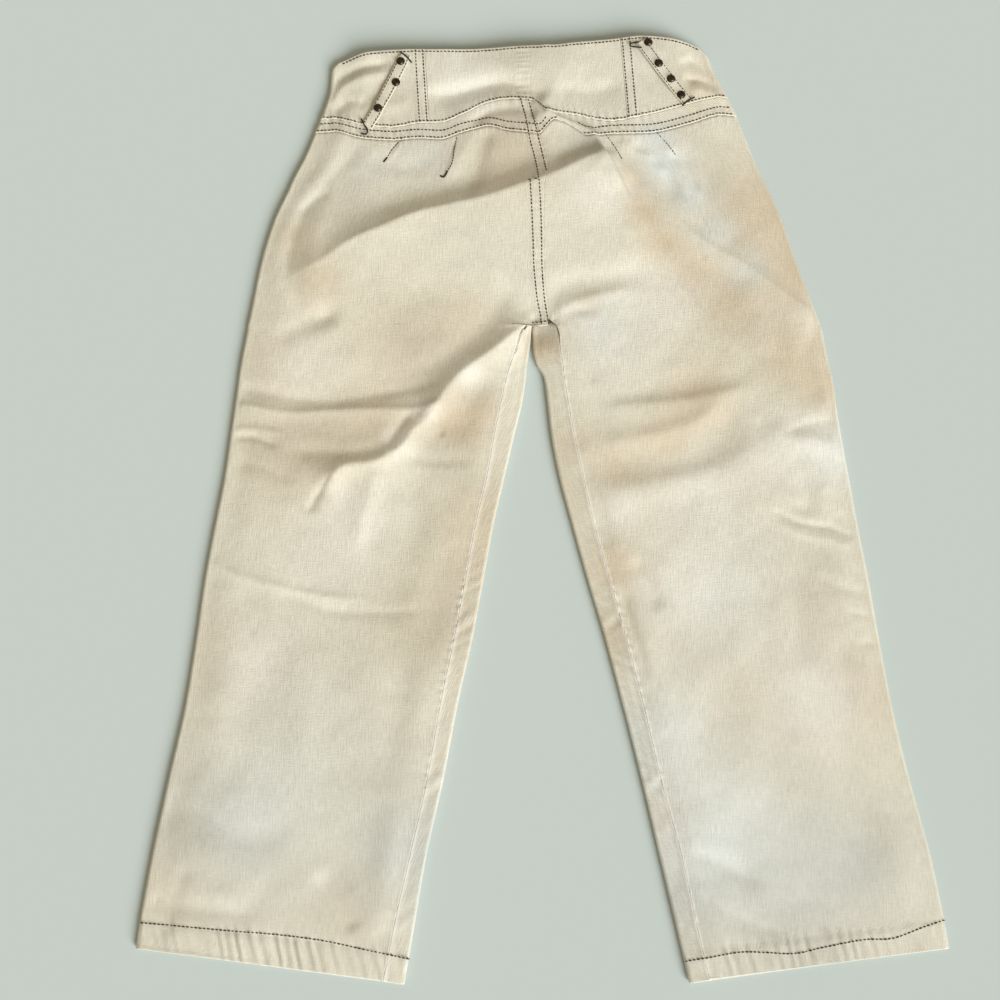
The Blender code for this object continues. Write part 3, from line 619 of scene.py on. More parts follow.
def backPanel(name, side):
    near, share = seamColumns(panelGrid["across"])
    base = panelRows[:, None].repeat(len(near), 1)
    word = "leftOut" if side < 0 else "rightOut"
    y = base.copy()
    # the left panel is felled over the right
    lapped = ease((base - garment["crotchLevel"] - 2) / 4) if side > 0 else np.zeros_like(base)
    for _ in range(3):
        start = backInner(side, y) + side * (near - seams["under"] * lapped)
        x = start + share * (edge(word, y) - side * garment["edgeRadius"] - start)
        y = rowLevels(x, base)
    below = np.minimum(y, waistLine("yokeLow", x) - 0.01)
    height = outerHeight(x, below) - dive(garment["yokeLevel"] - base, 0.95)
    height -= lapped * dive(side * (x - seatSeam(y)), 0.9)
    top = np.stack([x, y, height], -1)
    angles = np.radians(np.linspace(90, 0, panelGrid["rollColumns"] + 1)[1:])
    angles[-1] += garment["seamGap"] / 2 / garment["edgeRadius"]
    sideLevel = y[:, -1:].repeat(len(angles), 1)
    rolled = sideRoll(side, sideLevel, 0.0, angles, 0.0)
    points = np.concatenate([top, rolled], 1)
    inward = np.abs(points[..., 0] - backInner(side, points[..., 1])) + 9 * lapped[:, :1]
    above = np.where(base[:, :1] > garment["legTop"] + 12, 9, base[:, :1] - base[-1, 0])
    return makeShell(name, points, garment["clothThick"], (20, 1), borders=np.minimum(inward, above))


def frontPanel(name, side):
    word = "left" if side < 0 else "right"
    base = panelRows[::panelGrid["frontStep"]].copy()
    base[-1] = panelRows[-1]
    firstLeg = int(np.searchsorted(-base, -garment["legTop"]))
    yokeRows = 20  # the fronts go on up to the band, past the back panels
    upper = np.linspace(1, 0, yokeRows, endpoint=False)
    sideLevel = np.concatenate([np.zeros(yokeRows), base])
    x = np.zeros_like(sideLevel) + side * 200.0
    sideLevel[yokeRows:] = rowLevels(edge(word + "Out", base) - side * garment["edgeRadius"], base)
    bandLow = waistLine("bandLow", side * 200.0) - garment["seamGap"] / 2
    sideLevel[:yokeRows] = sideLevel[yokeRows] + upper * (bandLow - sideLevel[yokeRows])
    base = np.concatenate([np.full(yokeRows, base[0]), base])
    firstLeg += yokeRows
    innerLevel = rowLevels(edge(word + "In", base), base)
    frontTop = frontLevels["bandLow"] - garment["seamGap"]
    innerLevel[:yokeRows] = innerLevel[yokeRows] + upper * (frontTop - innerLevel[yokeRows])
    # the rows rise a little towards the crotch
    crotchRise = 5.0
    legRow = np.clip(np.arange(len(base)) - firstLeg, 0, None)
    innerLevel[firstLeg:] += crotchRise * (1 - ease(legRow[firstLeg:] / 14))
    aboveLeg = base[yokeRows:firstLeg] - garment["legTop"]
    innerLevel[yokeRows:firstLeg] += crotchRise * (1 - ease(aboveLeg / 40))
    radius = garment["edgeRadius"]
    gap = garment["seamGap"] / 2
    columns = []
    angles = np.radians(np.linspace(0, -90, 8))
    for angle in angles[:-1] - np.array([gap / radius] + [0] * 6):
        columns.append(sideRoll(side, sideLevel, 0.0, np.full_like(sideLevel, angle), 0.0))
    hip = np.arange(len(base)) < firstLeg
    for share in np.linspace(1, 0, panelGrid["frontAcross"]):
        y = innerLevel + share * (sideLevel - innerLevel)
        end = np.where(hip, edge(word + "In", y) + side * gap, edge(word + "In", y) + side * (radius + gap))
        x = end + share * (edge(word + "Out", y) - side * radius - end)
        level = frontLine("bandLow", x[:yokeRows]) - garment["seamGap"]
        y[:yokeRows] += upper * (level - frontLevels["bandLow"]) * (1 - share)
        columns.append(np.stack([x, y, bottomHeight(x, y)], -1))
    flatColumns = len(columns)

    def sunk(x, y):
        # the fronts sink under the backs' lower corner
        return (3.0 if side > 0 else 0.8) * hill(x, y, (5, 133), (15, 13))

    inner = edge(word + "In", innerLevel) + side * gap
    start = inner + side * radius
    top = topHeight(start, innerLevel) - sunk(start, innerLevel)
    middle, half = (top + garment["floorGap"]) / 2, (top - garment["floorGap"]) / 2
    for angle in np.radians([-65, -40, -15, 15, 40, 65]):
        columns.append(np.stack([start - side * radius * math.cos(angle), innerLevel,
                                 middle + half * math.sin(angle)], -1))
    seamLevel = rowLevels(edge(word + "Seam", base), base)
    seamLevel[firstLeg:] += 4 * (1 - ease(legRow[firstLeg:] / 10))
    past = [(share, 0.0) for share in np.linspace(0, 0.9, 10)]
    past += [(1, beyond) for beyond in (-1.0, -0.5, -0.15, 0.1, 0.35, 0.7, 1.7)]
    for share, beyond in past:
        y = innerLevel + share * (seamLevel - innerLevel)
        start = edge(word + "In", y) + side * (radius + gap)
        seam = edge(word + "Seam", np.minimum(y, garment["legTop"] - 0.5))
        x = start + share * (seam - side * gap - start) + side * beyond
        height = outerHeight(x, y) - sunk(x, y) - 0.25 - (dive(-beyond, 1.1) if share == 1 else 0)
        columns.append(np.stack([x, y, height], -1))
    points = np.stack(columns, 1)
    keep = np.ones((len(base) - 1, len(columns) - 1), bool)
    keep[:firstLeg, flatColumns - 1:] = False
    borders = np.full(points.shape[:2], 9.0)
    borders[-1] = 0.0
    return makeShell(name, points, garment["clothThick"], (flatColumns - 20, -1), keep, borders,
                     (firstLeg, flatColumns - 1))


def yokePiece(name, side):
    word = "leftOut" if side < 0 else "rightOut"
    near, share = seamColumns(panelGrid["yokeAcross"])
    angles = np.radians(np.linspace(90, 0, 9)[1:])
    angles[-1] += garment["seamGap"] / 2 / garment["edgeRadius"]
    across = np.concatenate([[0, 0.012, 0.03, 0.06], np.linspace(0.12, 0.88, 11), [0.92, 0.95, 0.975]])
    across = np.append(across, [1, 1, 1, 1])
    extra = np.append(np.zeros(len(across) - 3), [0.4, 0.9, seams["under"]])
    lines = []
    gap = garment["seamGap"] / 2
    under = seams["under"] if side > 0 else 0.0  # the left yoke is felled over the right
    for row, more in zip(across, extra):
        y = np.full_like(share, garment["yokeLevel"])
        for _ in range(6):
            start = seatSeam(y) + side * (gap + near - under)
            x = start + share * (edge(word, y) - side * garment["edgeRadius"] - start)
            low, high = waistLine("yokeLow", x) + gap, waistLine("bandLow", x) - gap
            y = low + row * (high - low) + more
        inside = np.clip(y, low + 0.01, high - 0.01)
        height = outerHeight(x, inside) - dive(high - y, 1.45)
        if under:
            height = height - dive(x - seatSeam(y), 0.9)
        top = np.stack([x, y, height], -1)
        rolled = sideRoll(side, np.full(len(angles), y[-1]), 0.3, angles, seams["yokeLift"])
        lines.append(np.concatenate([top, rolled]))
    points = np.stack(lines)
    depth = waistLine("bandLow", points[..., 0]) - waistLine("yokeLow", points[..., 0])
    borders = across[:, None] * depth
    borders = np.minimum(borders, np.abs(points[..., 0] - seatSeam(points[..., 1]) - side * gap) + 5 * under)
    return makeShell(name, points, garment["clothThick"], (30, 1), borders=borders)


bandEdge = np.array([0, 0.002, 0.005, 0.01, 0.02])
bandRows = np.concatenate([bandEdge, np.linspace(0.04, 0.96, 38), (1 - bandEdge)[::-1]])


def bandSide(name, side):
    word = "leftOut" if side < 0 else "rightOut"
    gap = garment["seamGap"] / 2
    radius = garment["edgeRadius"]
    near, share = seamColumns(panelGrid["bandAcross"])
    angles = np.radians(np.linspace(90, -90, 17)[1:-1])
    lines = []
    for row in bandRows:
        highSide = waistLine("top", side * 200.0)
        lowSide = waistLine("bandLow", side * 200.0) + gap
        level = lowSide + row * (highSide - lowSide)
        inset = side * seams["cornerRound"] * np.clip((row - 0.84) / 0.16, 0, 1) ** 2.5
        start = bandJoin(side, row) + side * (gap + near)
        x = start + share * (edge(word, level) - side * radius - inset - start)
        low = waistLine("bandLow", x) + gap
        y = low + row * (waistLine("top", x) - low)
        within = np.where(side * (x - bandJoin(side, row)) > 0, x, x + side * gap)
        top = np.stack([x, y, outerHeight(within, np.maximum(y, low + 0.01))], -1)
        lift = top[-1, 2] - topHeight(x[-1:], y[-1:])[0]
        rollLevel = level + (y[-1] - level) * np.linspace(1, 0, len(angles))
        rolled = sideRoll(side, rollLevel, 0.4, angles, lift) - (inset, 0, 0)
        end = edge(word, np.array(level)) - side * radius - inset
        clear = closure["middle"] + side * (closure["lap"] + closure["lapClear"])
        step = closure["lapStep"]
        stop = closure["middle"] - side * closure["lap"]
        x = np.concatenate([np.linspace(end, clear + side * step, 50),
                            clear + side * np.linspace(step, 0, 12)[1:], np.linspace(clear, stop, 14)[1:]])
        low = frontLine("bandLow", x) + gap
        y = low + row * (frontLine("top", x) - low)
        height = bottomHeight(x, y)
        if side > 0:
            height = height + (garment["bandThick"] + garment["seamGap"]) * (1 - ease((x - clear) / step))
        lines.append(np.concatenate([top, rolled, np.stack([x, y, height], -1)]))
    points = np.stack(lines)
    borders = np.minimum(bandRows, 1 - bandRows)[:, None] * 75 + np.zeros(points.shape[:2])
    run = np.cumsum(np.linalg.norm(np.diff(points, axis=1), axis=-1), 1)
    run = np.concatenate([np.zeros((len(run), 1)), run], 1)
    borders = np.minimum(borders, np.minimum(run, run[:, -1:] - run))
    return makeShell(name, points, garment["bandThick"], (25, 1), borders=borders)


def bandBack(name):
    gap = garment["seamGap"] / 2
    near = np.array([-1.7, -1.1, -0.6, -0.2, 0.1, 0.35, 0.6, 0.9, 1.5])
    inner = np.linspace(bandJoin(-1, 0) + near[-1], bandJoin(1, 0) - near[-1], 120)
    lowX = np.concatenate([bandJoin(-1, 0) + near, inner[1:-1], bandJoin(1, 0) - near[::-1]])
    row = bandRows[:, None]
    x = lowX + row * joinSlant
    low = waistLine("bandLow", x) + gap
    y = low + row * (waistLine("top", x) - low)
    # the centre-back piece reaches under the laps of the side pieces
    inside = np.minimum(x - bandJoin(-1, row), bandJoin(1, row) - x)
    points = np.stack([x, y, topHeight(x, y) + seams["bandLift"] - dive(inside, 1.15)], -1)
    borders = np.minimum(row, 1 - row) * 70 + np.zeros_like(x)
    return makeShell(name, points, garment["bandThick"], (60, 1), borders=borders)


# the fly, between the layers
fly = dict(
    shield=(36.0, 128.0, 3.65, 1.0),  # width, length, top and thickness
    tape=(24.0, 124.0, 2.4, 0.7),
    toothPitch=2.0, toothSize=(1.1, 3.4, 1.3), below=2.0,
)


def flyPlace(across, along):
    x = closure["middle"] + np.asarray(across, float)
    y = frontLine("bandLow", np.array(closure["middle"])) - fly["below"] - np.asarray(along, float)
    return x, y, bottomHeight(x, y) - garment["floorGap"]


def flyStrip(name, width, length, top, thick):
    near = np.array([0, 0.1, 0.25, 0.5, 1.0])
    across = np.concatenate([near, np.linspace(1.6, width - 1.6, 22), width - near[::-1]]) - width / 2
    along = np.concatenate([near, np.linspace(1.6, length - 1.6, 60), length - near[::-1]])
    v, u = np.meshgrid(along, across, indexing="ij")
    corner = 9 * ease((v - length + 22) / 22) ** 2  # the free corner is rounded off
    u = np.minimum(u, width / 2 - corner * (0.5 + u / width))
    x, y, height = flyPlace(u, v)
    points = np.stack([x, y, height + top], -1)
    borders = np.minimum(np.minimum(v, length - v), np.minimum(across - across[0], across[-1] - across))
    return makeShell(name, points, thick, (12, 1), borders=borders)


def zipSlider(name):
    # a small rounded block over the top of the teeth
    tapeTop = fly["tape"][2]
    turns = np.radians(np.arange(0, 360, 20))
    sections = [(3.0, 0.1, 0.1), (3.3, 2.6, 0.5), (5.0, 3.6, 0.95), (9.0, 3.3, 0.95), (12.0, 2.2, 0.8),
                (12.6, 0.1, 0.1)]
    rings = []
    for along, wide, high in sections:
        x, y, height = flyPlace(0.0, along)
        u = wide * np.sign(np.cos(turns)) * np.abs(np.cos(turns)) ** 0.6
        v = high * np.sign(np.sin(turns)) * np.abs(np.sin(turns)) ** 0.6
        rings.append(np.stack([x + u, np.full_like(u, y), height + tapeTop - 0.35 + v], -1))
    count = len(turns)
    faces = [list(range(count)), [(len(rings) - 1) * count + k for k in range(count)][::-1]]
    for ring in range(len(rings) - 1):
        for k in range(count):
            a, b = ring * count + k, ring * count + (k + 1) % count
            faces.append([b, a, a + count, b + count])
    return makeObject(name, np.concatenate(rings), faces)


# the belt loops' middle lines, from the top tack to the lower one
loops = dict(
    width=11.0, thick=1.4, arch=1.7, clear=0.15, crown=0.3,
    left=((-121, 401), (-135, 367), (-155, 329)),
    right=((97, 415), (117, 384), (139, 354)),
)
rivetPlaces = dict(
    left=((-125, 394), (-129, 372.5), (-145, 346.5)),
    right=((104, 413.5), (113, 391.5), (124, 376), (133, 360.5)),
)


def loopPlace(word, along, across):
    first, middle, last = [np.array(place, float) for place in loops[word]]
    bend = 2 * middle - (first + last) / 2
    t = np.asarray(along)[..., None]
    line = (1 - t) ** 2 * first + 2 * t * (1 - t) * bend + t ** 2 * last
    run = 2 * (1 - t) * (bend - first) + 2 * t * (last - bend)
    run = run / np.linalg.norm(run, axis=-1, keepdims=True)
    return line + np.asarray(across)[..., None] * np.stack([-run[..., 1], run[..., 0]], -1)


def loopSurface(word, along, across, more=0.0):
    flat = loopPlace(word, along, across)
    middle = loopPlace(word, along, np.zeros_like(across))
    # a loop is stiff: it takes the mean slope of the band under it
    base = outerHeight(middle[..., 0], middle[..., 1])
    tilt = (outerHeight(flat[..., 0], flat[..., 1]) - base) * 0.6
    arch = loops["arch"] * np.sin(math.pi * np.clip(along, 0, 1)) ** 2
    ripple = 0.25 * np.sin(along * 26 + (1 if word == "left" else 4)) * np.sin(math.pi * np.clip(along, 0, 1))
    height = base + tilt + loops["thick"] + loops["clear"] + arch + ripple + more
    return np.stack([flat[..., 0], flat[..., 1], height], -1)


def beltLoop(name, word):
    half = loops["width"] / 2
    places = np.concatenate([[0, 0.12, 0.3, 0.6, 1.0, 1.6], np.linspace(2.4, half, 6)])
    across = np.concatenate([places - half, (half - places)[::-1][1:]])
    along = np.concatenate([[0, 0.002, 0.005, 0.01], np.linspace(0.02, 0.98, 60), [0.99, 0.995, 0.998, 1]])
    t, s = np.meshgrid(along, across, indexing="ij")
    crown = loops["crown"] * (1 - (s / half) ** 2)
    points = loopSurface(word, t, s, crown)
    borders = np.minimum(half - np.abs(s), np.minimum(t, 1 - t) * 75)
    return makeShell(name, points, loops["thick"], (len(across) // 2, 1), borders=borders)


def newMaterial(name, roughness, specular=0.3):
    material = bpy.data.materials.new(name)
    material.use_nodes = True
    shader = material.node_tree.nodes["Principled BSDF"]
    shader.inputs["Roughness"].default_value = roughness
    shader.inputs["Specular IOR Level"].default_value = specular
    return material, material.node_tree.nodes, material.node_tree.links, shader


def addNode(nodes, kind, **values):
    node = nodes.new(kind)
    for key, value in values.items():
        if hasattr(node, key):
            setattr(node, key, value)
        else:
            node.inputs[key.replace("_", " ")].default_value = value
    return node


clothLook = dict(
    sheen=0.08,
    streakLong=11.0, streakWide=1.15,  # slubs in the yarn
    twillRib=1.1,
    bumpDeep=0.0005,
    # besides the cream, these colours are painted on: a tan that is partly the cloth's own tone and partly
    # painted warm shade, a painted shade, a painted highlight and a painted cool light
    cream=(0.790, 0.765, 0.660), tan=(0.640, 0.510, 0.345), cool=(0.770, 0.850, 0.880),
    shade=(0.520, 0.500, 0.430), pale=(0.960, 0.950, 0.910),
)


def clothMaterial(name):
    material, nodes, links, shader = newMaterial(name, 0.85, 0.2)
    shader.inputs["Sheen Weight"].default_value = clothLook["sheen"]
    shader.inputs["Sheen Roughness"].default_value = 0.6
    place = addNode(nodes, "ShaderNodeTexCoord")
    tints = addNode(nodes, "ShaderNodeAttribute", attribute_name="tint")
    streaks = []
    for wide, long, seed in ((clothLook["streakWide"], clothLook["streakLong"], 0.0),
                             (clothLook["streakLong"] * 0.7, clothLook["streakWide"], 4.0)):
        mapping = addNode(nodes, "ShaderNodeMapping")
        mapping.inputs["Scale"].default_value = (1 / (wide * metre), 1 / (long * metre), 1)
        mapping.inputs["Location"].default_value = (seed, seed, 0)
        noise = addNode(nodes, "ShaderNodeTexNoise", Scale=1.0, Detail=3.0, Roughness=0.6, Distortion=0.3)
        links.new(place.outputs["UV"], mapping.inputs["Vector"])
        links.new(mapping.outputs["Vector"], noise.inputs["Vector"])
        streaks.append(noise)
    weave = addNode(nodes, "ShaderNodeMath", operation="MULTIPLY")
    links.new(streaks[0].outputs["Fac"], weave.inputs[0])
    weave.inputs[1].default_value = 1.25
    both = addNode(nodes, "ShaderNodeMath", operation="MULTIPLY_ADD")
    links.new(streaks[1].outputs["Fac"], both.inputs[0])
    both.inputs[1].default_value = 0.75
    links.new(weave.outputs[0], both.inputs[2])
    twillTurn = addNode(nodes, "ShaderNodeMapping")
    twillTurn.inputs["Rotation"].default_value = (0, 0, math.radians(62))
    twillTurn.inputs["Scale"].default_value = (1 / (clothLook["twillRib"] * metre),) * 3
    twill = addNode(nodes, "ShaderNodeTexWave", Scale=0.32, Distortion=1.2, Detail=2.0)
    links.new(place.outputs["UV"], twillTurn.inputs["Vector"])
    links.new(twillTurn.outputs["Vector"], twill.inputs["Vector"])
    height = addNode(nodes, "ShaderNodeMath", operation="MULTIPLY_ADD")
    links.new(twill.outputs["Fac"], height.inputs[0])
    height.inputs[1].default_value = 0.3
    links.new(both.outputs[0], height.inputs[2])
    bump = addNode(nodes, "ShaderNodeBump", Strength=0.8, Distance=clothLook["bumpDeep"])
    links.new(height.outputs[0], bump.inputs["Height"])
    links.new(bump.outputs["Normal"], shader.inputs["Normal"])
    # colour: the tint painted on each piece (the cloth's cream and tan, with painted shade, painted
    # highlights and painted cool light), a little paler or darker along the yarns, with soft worn patches
    shade = addNode(nodes, "ShaderNodeMapRange", From_Min=0.6, From_Max=1.4, To_Min=0.84, To_Max=1.1)
    links.new(both.outputs[0], shade.inputs["Value"])
    patches = addNode(nodes, "ShaderNodeTexNoise", Scale=14.0, Detail=4.0, Roughness=0.55)
    links.new(place.outputs["Object"], patches.inputs["Vector"])
    patchShade = addNode(nodes, "ShaderNodeMapRange", From_Min=0.3, From_Max=0.7, To_Min=0.95, To_Max=1.03)
    links.new(patches.outputs["Fac"], patchShade.inputs["Value"])
    product = addNode(nodes, "ShaderNodeMath", operation="MULTIPLY")
    links.new(shade.outputs["Result"], product.inputs[0])
    links.new(patchShade.outputs["Result"], product.inputs[1])
    colour = addNode(nodes, "ShaderNodeVectorMath", operation="SCALE")
    links.new(tints.outputs["Color"], colour.inputs[0])
    links.new(product.outputs[0], colour.inputs["Scale"])
    links.new(colour.outputs["Vector"], shader.inputs["Base Color"])
    return material


# where colour is painted on the cloth, each a place, its reach and how strong: tan, partly the cloth's own
# tone and partly painted shade; painted shade; painted highlights; painted cool light
tintSpots = dict(
    # tan: partly the cloth's own tone, partly painted shade beside the folds and under the backs' lower
    # corner at the crotch
    tan=[
        (205, 250, 48, 0.6), (232, 190, 36, 0.6), (165, 150, 40, 0.2), (86, 279, 14, 0.5),
        (95, 246, 18, 0.6), (112, 216, 20, 0.6), (139, 190, 22, 0.55), (175, 158, 24, 0.4),
        (225, 110, 34, 0.5), (252, 80, 26, 0.5), (142, 69, 34, 0.55), (110, 30, 26, 0.5), (70, 8, 26, 0.45),
        (66, -80, 24, 0.55), (262, -190, 36, 0.45), (216, -110, 36, 0.3), (180, -180, 60, 0.22),
        (-93, -126, 46, 0.4), (-208, 24, 50, 0.5), (-71, 42, 26, 0.75), (-48, 60, 20, 0.4),
        (-140, 44, 34, 0.35), (-104, 116, 50, 0.4), (-60, 140, 30, 0.3), (-214, 222, 22, 0.4),
        (-196, 178, 24, 0.45), (-236, 110, 40, 0.25), (-180, 120, 70, 0.15), (-120, 300, 70, 0.22),
        (-20, 296, 40, 0.35), (6, 124, 17, 0.8), (151, 372, 26, 0.35), (-40, 350, 36, 0.3),
        (-50, -30, 36, 0.35), (-60, -70, 36, 0.3), (19, -21, 26, 0.25), (30, 30, 22, 0.35),
        (60, -140, 24, 0.4), (100, -290, 16, 0.5), (250, -372, 34, 0.3), (44, 160, 14, 0.5),
        (-270, -160, 40, 0.2), (-300, -340, 30, 0.3), (-150, -360, 30, 0.35),
    ],
    # painted shade: in the folds, at the crest's tip, under the backs' lower corner and towards the hems
    shade=[
        (-281, -293, 44, 0.8), (122, -357, 34, 0.95), (-115, -317, 44, 0.65), (210, -373, 46, 0.6),
        (254, -317, 46, 0.5), (-93, -126, 40, 0.3), (-77, 24, 24, 0.4), (-214, 24, 34, 0.35),
        (-104, 116, 40, 0.3), (50, 308, 18, 0.7), (-230, -180, 50, 0.25), (-150, -230, 60, 0.25),
        (-60, 210, 50, 0.15), (10, 288, 20, 0.25), (-10, 340, 24, 0.3), (8, 133, 12, 0.6),
        (110, -400, 20, 0.3),
    ],
    # painted highlights: on lit ridges and knots, and over lit stretches of the legs and hips
    pale=[
        (246, 24, 30, 0.6), (137, -105, 40, 0.6), (235, -194, 36, 0.8), (140, -21, 36, 0.5),
        (71, -30, 20, 0.4), (110, 163, 30, 0.4), (70, 120, 30, 0.4), (-214, 252, 16, 0.2),
        (-210, 106, 40, 0.35), (-179, -74, 40, 0.3), (-163, -36, 26, 0.4), (-240, -160, 36, 0.3),
        (147, -300, 46, 0.5), (58, 260, 26, 0.35), (-80, 390, 30, 0.2), (60, 395, 30, 0.1),
        (-100, 62, 12, 0.5), (-125, 28, 12, 0.5), (-60, 92, 12, 0.5), (205, 20, 30, 0.3),
    ],
    # painted cool light: on the lit sides of folds and over the lower legs
    cool=[
        (147, -317, 80, 0.6), (-238, -300, 60, 0.45), (-110, -320, 60, 0.4), (109, 319, 16, 0.6),
        (117, 292, 20, 0.8), (139, 262, 18, 0.6), (160, 226, 18, 0.5), (190, 190, 18, 0.4),
        (-60, 362, 30, 0.3), (250, 20, 30, 0.3), (-200, -230, 60, 0.2), (100, -220, 46, 0.5),
        (56, 140, 30, 0.35), (-100, 300, 26, 0.35), (-150, 290, 26, 0.3), (250, -340, 60, 0.4),
        (175, -110, 60, 0.3),
    ],
)


def paintTint(thing):
    mesh = thing.data
    co = np.zeros(len(mesh.vertices) * 3, np.float32)
    mesh.vertices.foreach_get("co", co)
    x, y, _ = (co.reshape(-1, 3) / metre - shift).T
    colour = np.tile(clothLook["cream"], (len(x), 1))

    def blend(colour, word, amount):
        return colour + amount[:, None] * (np.array(clothLook[word]) - colour)

    # the spots paint tan tone, painted shade, painted highlights and painted cool light into the cloth's
    # colour
    for word, spots in tintSpots.items():
        for atX, atY, reach, share in spots:
            colour = blend(colour, word, share * hill(x, y, (atX, atY), (reach, reach)))
    for word in ("leftSeam", "rightSeam"):  # a painted highlight along the inseams' ridges
        colour = blend(colour, "pale", 0.6 * np.exp(-((x - edge(word, y)) / 1.3) ** 2) * ease((134 - y) / 12))
    layer = mesh.color_attributes.new("tint", "FLOAT_COLOR", "POINT")
    layer.data.foreach_set("color", np.column_stack([colour, np.ones(len(x))]).astype(np.float32).ravel())


def speckledMaterial(name, dark, light, roughness, metallic=0.0, scale=900.0, deep=0.0001):
    material, nodes, links, shader = newMaterial(name, roughness)
    shader.inputs["Metallic"].default_value = metallic
    place = addNode(nodes, "ShaderNodeTexCoord")
    noise = addNode(nodes, "ShaderNodeTexNoise", Scale=scale, Detail=4.0, Roughness=0.6)
    ramp = addNode(nodes, "ShaderNodeValToRGB")
    ramp.color_ramp.elements[0].position, ramp.color_ramp.elements[0].color = 0.35, (*dark, 1)
    ramp.color_ramp.elements[1].position, ramp.color_ramp.elements[1].color = 0.68, (*light, 1)
    bump = addNode(nodes, "ShaderNodeBump", Strength=0.5, Distance=deep)
    links.new(place.outputs["Object"], noise.inputs["Vector"])
    links.new(noise.outputs["Fac"], ramp.inputs["Fac"])
    links.new(ramp.outputs["Color"], shader.inputs["Base Color"])
    links.new(noise.outputs["Fac"], bump.inputs["Height"])
    links.new(bump.outputs["Normal"], shader.inputs["Normal"])
    return material


twillCloth = clothMaterial("creamTwill")
brownThread = speckledMaterial("brownThread", (0.030, 0.017, 0.011), (0.11, 0.068, 0.044), roughness=0.7)
blackThread = speckledMaterial("blackThread", (0.012, 0.010, 0.009), (0.05, 0.04, 0.03), roughness=0.7)
bronze = speckledMaterial("darkBronze", (0.022, 0.016, 0.011), (0.12, 0.085, 0.055), roughness=0.4,
                          metallic=0.85, scale=700.0, deep=0.00015)
zipTape = speckledMaterial("zipTape", (0.52, 0.46, 0.34), (0.66, 0.60, 0.47), roughness=0.85, scale=600.0)


def stitchTree():
    # lays a small capsule at every step along the rows
    tree = bpy.data.node_groups.new("stitchRows", "GeometryNodeTree")
    face = tree.interface
    face.new_socket("Geometry", in_out="INPUT", socket_type="NodeSocketGeometry")
    sockets = {}
    for label in ("Pitch", "Length", "Width", "Height", "Sway"):
        sockets[label] = face.new_socket(label, in_out="INPUT", socket_type="NodeSocketFloat").identifier
    sockets["Thread"] = face.new_socket("Thread", in_out="INPUT", socket_type="NodeSocketMaterial").identifier
    face.new_socket("Geometry", in_out="OUTPUT", socket_type="NodeSocketGeometry")
    nodes, links = tree.nodes, tree.links
    given = nodes.new("NodeGroupInput")
    result = nodes.new("NodeGroupOutput")
    toCurve = nodes.new("GeometryNodeMeshToCurve")
    spaced = nodes.new("GeometryNodeResampleCurve")
    spaced.mode = "LENGTH"
    tangent = nodes.new("GeometryNodeInputTangent")
    up = nodes.new("GeometryNodeInputNamedAttribute")
    up.data_type = "FLOAT_VECTOR"
    up.inputs["Name"].default_value = "up"
    turn = nodes.new("FunctionNodeAxesToRotation")
    turn.primary_axis, turn.secondary_axis = "Z", "X"
    jitter = nodes.new("FunctionNodeRandomValue")
    jitter.data_type = "FLOAT_VECTOR"
    jitter.inputs["Seed"].default_value = 7
    sway = nodes.new("ShaderNodeVectorMath")
    sway.operation = "SCALE"
    swung = nodes.new("FunctionNodeRotateRotation")
    swung.rotation_space = "LOCAL"
    toRotation = nodes.new("FunctionNodeEulerToRotation")
    capsule = nodes.new("GeometryNodeMeshUVSphere")
    capsule.inputs["Segments"].default_value = 7
    capsule.inputs["Rings"].default_value = 5
    capsule.inputs["Radius"].default_value = 0.5
    shape = nodes.new("ShaderNodeCombineXYZ")
    uneven = nodes.new("FunctionNodeRandomValue")
    uneven.data_type = "FLOAT"
    uneven.inputs[2].default_value, uneven.inputs[3].default_value = 0.82, 1.08
    uneven.inputs["Seed"].default_value = 11
    sized = nodes.new("ShaderNodeVectorMath")
    sized.operation = "SCALE"
    placed = nodes.new("GeometryNodeInstanceOnPoints")
    real = nodes.new("GeometryNodeRealizeInstances")
    smooth = nodes.new("GeometryNodeSetShadeSmooth")
    finish = nodes.new("GeometryNodeSetMaterial")
    jitter.inputs[0].default_value, jitter.inputs[1].default_value = (-0.3, -0.5, -1), (0.3, 0.5, 1)
    links.new(given.outputs["Geometry"], toCurve.inputs["Mesh"])
    links.new(toCurve.outputs["Curve"], spaced.inputs["Curve"])
    links.new(given.outputs["Pitch"], spaced.inputs["Length"])
    links.new(up.outputs["Attribute"], turn.inputs["Primary Axis"])
    links.new(tangent.outputs["Tangent"], turn.inputs["Secondary Axis"])
    links.new(jitter.outputs["Value"], sway.inputs[0])
    links.new(given.outputs["Sway"], sway.inputs["Scale"])
    links.new(sway.outputs["Vector"], toRotation.inputs["Euler"])
    links.new(turn.outputs["Rotation"], swung.inputs["Rotation"])
    links.new(toRotation.outputs["Rotation"], swung.inputs["Rotate By"])
    for label, axis in (("Length", "X"), ("Width", "Y"), ("Height", "Z")):
        links.new(given.outputs[label], shape.inputs[axis])
    links.new(shape.outputs["Vector"], sized.inputs[0])
    links.new(uneven.outputs[1], sized.inputs["Scale"])
    links.new(spaced.outputs["Curve"], placed.inputs["Points"])
    links.new(capsule.outputs["Mesh"], placed.inputs["Instance"])
    links.new(swung.outputs["Rotation"], placed.inputs["Rotation"])
    links.new(sized.outputs["Vector"], placed.inputs["Scale"])
    links.new(placed.outputs["Instances"], real.inputs["Geometry"])
    links.new(real.outputs["Geometry"], smooth.inputs["Geometry"])
    links.new(smooth.outputs["Geometry"], finish.inputs["Geometry"])
    links.new(given.outputs["Thread"], finish.inputs["Material"])
    links.new(finish.outputs["Geometry"], result.inputs["Geometry"])
    return tree, sockets


rowTree, rowSockets = stitchTree()


